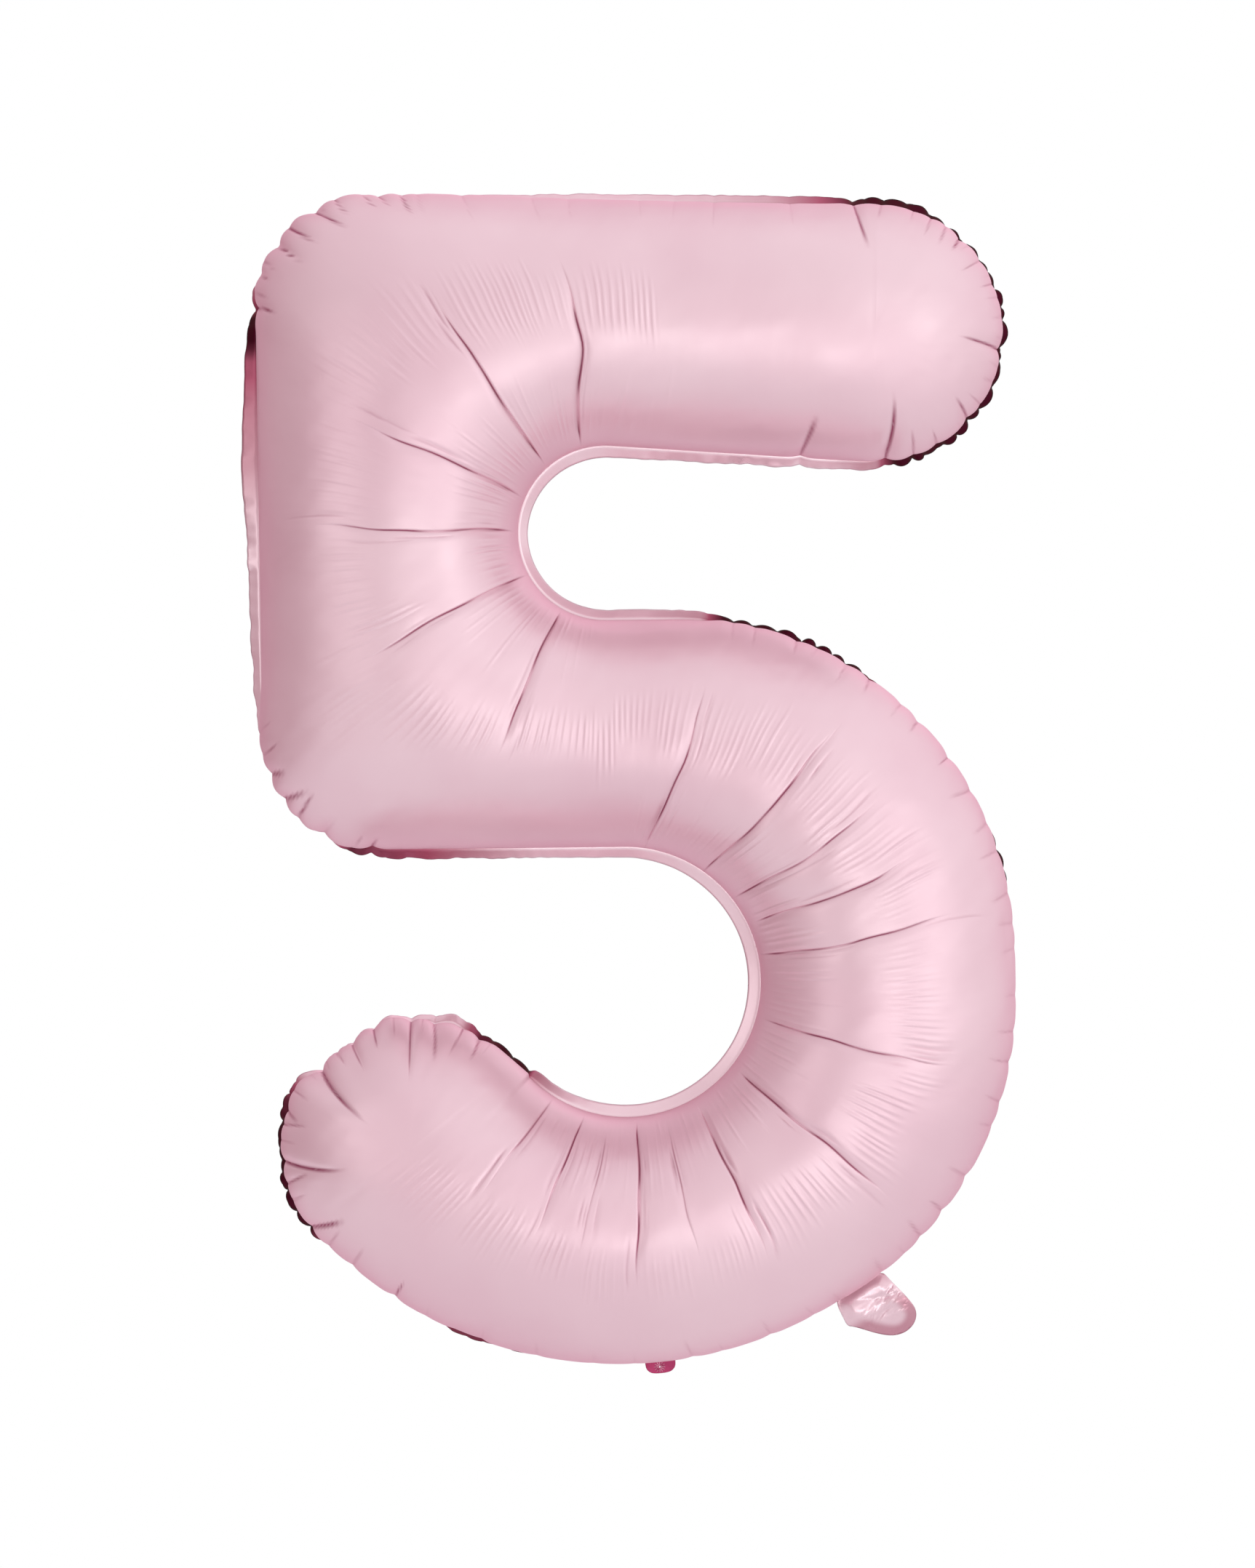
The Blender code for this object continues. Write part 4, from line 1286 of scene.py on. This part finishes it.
def tab_film(root, look):
    """The ribbon tab: a welded double film with a small hole, crimped in rays round the hole."""
    hole_out = -root.spot @ root.out
    hole_along = -root.spot @ root.along
    turns = np.linspace(0, 2 * math.pi, HOLE_SIDES, endpoint=False)
    hole = np.array((hole_along, hole_out)) + HOLE_RADIUS * unit(turns)
    spots, faces = flat_film([rounded(TAB_CORNERS, 3), hole], TAB_STEP)
    along, out = spots.T
    away = np.hypot(along - hole_along, out - hole_out)
    turn = np.arctan2(out - hole_out, along - hole_along)
    rays = np.sin(CRIMPS * turn + 0.8) * smooth(away, 0.0005, 0.0013)
    rays = rays * smooth(0.0045 - away, 0, 0.002)
    bow = 0.0008 * np.sin(along * 150 + 1.0) * smooth(out, 0.001, 0.009)
    depth = (CRIMP_HEIGHT * rays + bow) * smooth(out, 0.0, 0.006)
    mesh = flat_mesh("ribbon_tab_film", root, spots, depth, faces, -1)
    # painted highlight: pale pink along the crimp rays round the hole
    mark(mesh, "fold", np.clip(rays, 0, 1))
    made = linked("ribbon_tab_film", mesh, look)
    thicken(made, TAB_FILM, 0)
    return made


# ---------------------------------------------------------------- materials
PINK = (0.812, 0.590, 0.658)
PALE_PINK = (0.855, 0.664, 0.718)
# painted light: the margin paler than the film, for light showing through the thin margin
LIT_MARGIN_PINK = (0.950, 0.770, 0.820)
# painted shade: the middle step on the margin, and the shade on the tail
SHADE_ROSE = (0.430, 0.110, 0.175)
# painted shade at the bottom of the film's folds
FOLD_SHADE_PINK = (0.300, 0.045, 0.115)
# painted shadow: the darkest step on the margin
MARGIN_SHADOW = (0.060, 0.005, 0.016)
# painted shade: the tab's foil darkened as it hangs in the shadow of the body, facing away
SHADED_TAB_PINK = (0.36, 0.035, 0.11)
SHADED_TAB_PALE = (0.46, 0.07, 0.17)
# painted highlight on the tab's crimp rays
CRIMP_HIGHLIGHT = (0.90, 0.55, 0.68)
VALVE_FILM = (0.88, 0.86, 0.88)
VALVE_PALE = (0.95, 0.93, 0.95)
FLOOR_GREY = (0.86, 0.86, 0.87)
EDGE_TINT = (0.85, 0.40, 0.56)  # of the foil seen at a shallow angle
# painted shade in the reflections of the shadowed margin
SHADOWED_EDGE_TINT = (0.30, 0.05, 0.10)


def mixed(tree, share, first, second):
    """A colour between two, each of which is a colour or another node's output."""
    node = tree.nodes.new("ShaderNodeMix")
    node.data_type = "RGBA"
    tree.links.new(share, node.inputs["Factor"])
    for socket, value in ((node.inputs[6], first), (node.inputs[7], second)):
        if isinstance(value, tuple):
            socket.default_value = (*value, 1)
        else:
            tree.links.new(value, socket)
    return node.outputs[2]


class Look:
    """A material under construction: its node tree and its shader."""

    def __init__(self, name):
        self.material = bpy.data.materials.new(name)
        self.material.use_nodes = True
        self.tree = self.material.node_tree
        self.shader = self.tree.nodes["Principled BSDF"]
        place = self.add("ShaderNodeTexCoord")
        self.place = place.outputs["Object"]

    def add(self, kind, **settings):
        node = self.tree.nodes.new(kind)
        for name, value in settings.items():
            setattr(node, name, value)
        return node

    def join(self, output, target):
        self.tree.links.new(output, target)

    def set(self, **values):
        for name, value in values.items():
            self.shader.inputs[name.replace("_", " ")].default_value = value

    def noise(self, scale, detail=2.0, roughness=0.5, distortion=0.0):
        node = self.add("ShaderNodeTexNoise")
        node.inputs["Scale"].default_value = scale
        node.inputs["Detail"].default_value = detail
        node.inputs["Roughness"].default_value = roughness
        node.inputs["Distortion"].default_value = distortion
        self.join(self.place, node.inputs["Vector"])
        return node.outputs["Fac"]

    def mapped(self, value, low, high, from_low=0.3, from_high=0.7):
        node = self.add("ShaderNodeMapRange")
        node.inputs["From Min"].default_value = from_low
        node.inputs["From Max"].default_value = from_high
        node.inputs["To Min"].default_value = low
        node.inputs["To Max"].default_value = high
        self.join(value, node.inputs["Value"])
        return node.outputs["Result"]

    def mixed(self, share, first, second):
        return mixed(self.tree, share, first, second)

    def attribute(self, name):
        return self.add("ShaderNodeAttribute", attribute_name=name).outputs["Fac"]

    def bump(self, height, depth, strength, under=None):
        node = self.add("ShaderNodeBump")
        node.inputs["Strength"].default_value = strength
        node.inputs["Distance"].default_value = depth
        self.join(height, node.inputs["Height"])
        if under is not None:
            self.join(under, node.inputs["Normal"])
        return node.outputs["Normal"]


def satin_foil(name, tint, pale, marks="", shades=(), gloss=(0.40, 0.48)):
    """Satin metallised film: a cloudy tint, uneven gloss, a faint grain and tiny crinkles.

    Where the mesh's marks rise from 0 to 1, it goes through the given colours in turn: painted
    shade in the folds, on the margin and on the tail, and painted highlight on the tab's crimps.
    """
    look = Look(name)
    colour = look.mixed(look.mapped(look.noise(7.0, 3.0), 0, 1), tint, pale)
    look.set(Metallic=0.72, Specular_Tint=(*EDGE_TINT, 1))
    for step, shade in enumerate(shades):
        share = (step / len(shades), (step + 1) / len(shades))
        share = look.mapped(look.attribute(marks), 0, 1, *share)
        colour = look.mixed(share, colour, shade)
    # painted shade: the margin's reflections are darkened with it too
    if MARGIN_SHADOW in shades:
        edge = look.mixed(share, EDGE_TINT, SHADOWED_EDGE_TINT)
        look.join(edge, look.shader.inputs["Specular Tint"])
    look.join(colour, look.shader.inputs["Base Color"])
    look.join(look.mapped(look.noise(26.0, 4.0, 0.6), *gloss), look.shader.inputs["Roughness"])
    crinkle = look.bump(look.noise(95.0, 3.0, 0.55, 0.6), 0.0006, 0.10)
    grain = look.bump(look.noise(2600.0, 2.0, 0.6), 0.00006, 0.22, crinkle)
    look.join(grain, look.shader.inputs["Normal"])
    return look.material


def clear_film():
    """The valve's thin clear film, with a faint milky cast."""
    look = Look("valve_film_look")
    tint = look.mixed(look.mapped(look.noise(40.0, 3.0), 0, 1), VALVE_FILM, VALVE_PALE)
    look.join(tint, look.shader.inputs["Base Color"])
    look.join(look.mapped(look.noise(120.0, 3.0), 0.18, 0.34), look.shader.inputs["Roughness"])
    look.join(look.bump(look.noise(160.0, 2.0), 0.0003, 0.15), look.shader.inputs["Normal"])
    look.set(Alpha=0.45, IOR=1.5)
    return look.material


# ---------------------------------------------------------------- stage, lights and camera
CAMERA_DISTANCE = 5.0
FRAME_HEIGHT = 1.1487
AIM = (-0.0237, 0.427)
SENSOR = 36.0
FLOOR_LEVEL = -0.9
FLOOR_HALF = 3.5
LIGHTS_AIM = (0.0, 0.0, 0.43)
COOL_WHITE = (0.90, 1.0, 0.96)
WHITE = (1.0, 1.0, 1.0)
# Each soft light: its name, place, width and height, power and colour.
LIGHTS = (
    ("key", (1.0, -3.9, 1.3), (4.2, 3.6), 9, COOL_WHITE),
    ("right", (3.2, -2.6, 0.6), (1.5, 3.0), 13, COOL_WHITE),
    ("low", (0.8, -4.0, -0.5), (2.6, 0.7), 13.5, COOL_WHITE),
    ("left", (-3.0, -2.8, 0.8), (1.8, 2.6), 11.5, COOL_WHITE),
    ("behind", (0.8, 3.2, 2.2), (3.0, 2.0), 6, WHITE),
)
STUDIO_BRIGHT_SIDE = (0.60, 0.0, 0.80)  # towards the big window of light, high on the right
STUDIO_DARKEST = (0.36, 0.165, 0.200)
STUDIO_BRIGHTEST = (1.09, 1.05, 1.07)


def plain(name, colour):
    look = Look(name)
    tint = look.mixed(look.noise(3.0), colour, tuple(0.98 * part for part in colour))
    look.join(tint, look.shader.inputs["Base Color"])
    look.set(Roughness=0.8)
    return look.material


def make_floor():
    signs = ((-1, -1), (1, -1), (1, 1), (-1, 1))
    corners = [(x * FLOOR_HALF, y * FLOOR_HALF, FLOOR_LEVEL) for x, y in signs]
    mesh = bpy.data.meshes.new("floor")
    mesh.from_pydata(corners, [], [(0, 1, 2, 3)])
    floor = linked("floor", mesh, plain("floor_look", FLOOR_GREY))


def soft_light(name, place, size, power, colour):
    light = bpy.data.lights.new(name, "AREA")
    light.shape = "RECTANGLE"
    light.size, light.size_y = size
    light.energy = power
    light.color = colour
    holder = bpy.data.objects.new(name, light)
    holder.location = place
    heading = Vector(LIGHTS_AIM) - Vector(place)
    holder.rotation_euler = heading.to_track_quat("-Z", "Y").to_euler()
    bpy.context.collection.objects.link(holder)


def make_world():
    """White to the camera, and to the foil a studio that is brightest high on the right."""
    world = bpy.data.worlds.new("studio")
    bpy.context.scene.world = world
    world.use_nodes = True
    tree = world.node_tree
    heading = tree.nodes.new("ShaderNodeTexCoord")
    facing = tree.nodes.new("ShaderNodeVectorMath")
    facing.operation = "DOT_PRODUCT"
    facing.inputs[1].default_value = Vector(STUDIO_BRIGHT_SIDE).normalized()
    tree.links.new(heading.outputs["Generated"], facing.inputs[0])
    share = tree.nodes.new("ShaderNodeMapRange")
    share.inputs["From Min"].default_value = -1
    tree.links.new(facing.outputs["Value"], share.inputs["Value"])
    studio = mixed(tree, share.outputs["Result"], STUDIO_DARKEST, STUDIO_BRIGHTEST)
    seen = tree.nodes.new("ShaderNodeLightPath")
    shown = mixed(tree, seen.outputs["Is Camera Ray"], studio, WHITE)
    tree.links.new(shown, tree.nodes["Background"].inputs["Color"])


def make_camera():
    camera = bpy.data.cameras.new("photo_view")
    camera.sensor_width = SENSOR
    camera.lens = SENSOR * CAMERA_DISTANCE / FRAME_HEIGHT
    holder = bpy.data.objects.new("photo_view", camera)
    holder.location = (AIM[0], -CAMERA_DISTANCE, AIM[1])
    holder.rotation_euler = (math.pi / 2, 0, 0)
    bpy.context.collection.objects.link(holder)
    bpy.context.scene.camera = holder


# ---------------------------------------------------------------- the object
BODY_FILM = 0.00015
MARGIN_GLOSS = (0.27, 0.37)
TAIL_GLOSS = (0.24, 0.34)


def place_piece(piece, body, node):
    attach(piece, body)
    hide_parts(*node)


def bend_piece(piece, root, nodes):
    """A tail or tab film: its placement is baked into its mesh, and the CAD parts it replaces are
    hidden.
    """
    root.at(-0.0008, 0)
    root.at(0.0042, 0)
    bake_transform(piece)
    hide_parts(*nodes)


def main():
    for obj in list(bpy.data.objects):
        if obj.name in ("Cube", "Light", "Camera"):
            bpy.data.objects.remove(obj)
    # the film goes deeper pink along its fold lines: painted shade
    foil = satin_foil("pink_foil_look", PINK, PALE_PINK, "fold", (FOLD_SHADE_PINK,))
    # painted shade on the margin where it is folded back, through rose to near black
    shades = (SHADE_ROSE, MARGIN_SHADOW)
    # painted light: the margin's base colour is paler than the film's
    margin_foil = satin_foil("margin_look", LIT_MARGIN_PINK, PALE_PINK, "painted_margin_shade", shades, MARGIN_GLOSS)
    # the tail's rose tint is painted shade
    tail_foil = satin_foil("tail_look", PINK, PALE_PINK, "fold", (SHADE_ROSE,), TAIL_GLOSS)
    # the tab's colours carry painted shade, and its crimp rays a painted highlight
    tab_foil = satin_foil("tab_look", SHADED_TAB_PINK, SHADED_TAB_PALE, "fold", (CRIMP_HIGHLIGHT,))
    puckers = Puckers(weld_rows(END_FOLDS), PUCKER_ZONES, np.random.default_rng(PUCKER_SEED))
    solution = coarse_solution()
    front = Film(-1, FRONT_ROW_STEP, FRONT_SECTORS, FRONT_SEED, solution, puckers)
    back = Film(1, BACK_ROW_STEP, BACK_SECTORS, BACK_SEED, solution, puckers)
    front_foil = front.object("front_foil", BODY_FILM, foil)
    place_piece(front_foil, "envelope", ["front_panel"])
    back_foil = back.object("back_foil", BODY_FILM, foil)
    place_piece(back_foil, "envelope", ["back_panel"])
    margin = weld_margin(puckers, margin_foil)
    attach(margin, "envelope")
    tail_root, tab_root = Root(TAIL_PLACE), Root(TAB_PLACE)
    for name, side, seed, node in (
        ("tail_front_film", -1, 41, "tail_front_ply"),
        ("tail_back_film", 1, 43, "tail_back_ply"),
    ):
        film = tail_film(name, side, tail_root, seed, tail_foil)
        bend_piece(film, tail_root, [node])
    bend_piece(tab_film(tab_root, tab_foil), tab_root, ["ribbon_tab"])
    clear = clear_film()
    for node in ("valve_front_film", "valve_back_film"):
        frame["nodes"][node].data.materials.clear()
        frame["nodes"][node].data.materials.append(clear)
    make_floor()
    make_world()
    for light in LIGHTS:
        soft_light(*light)
    make_camera()
    bpy.context.scene.view_settings.view_transform = "Standard"


main()
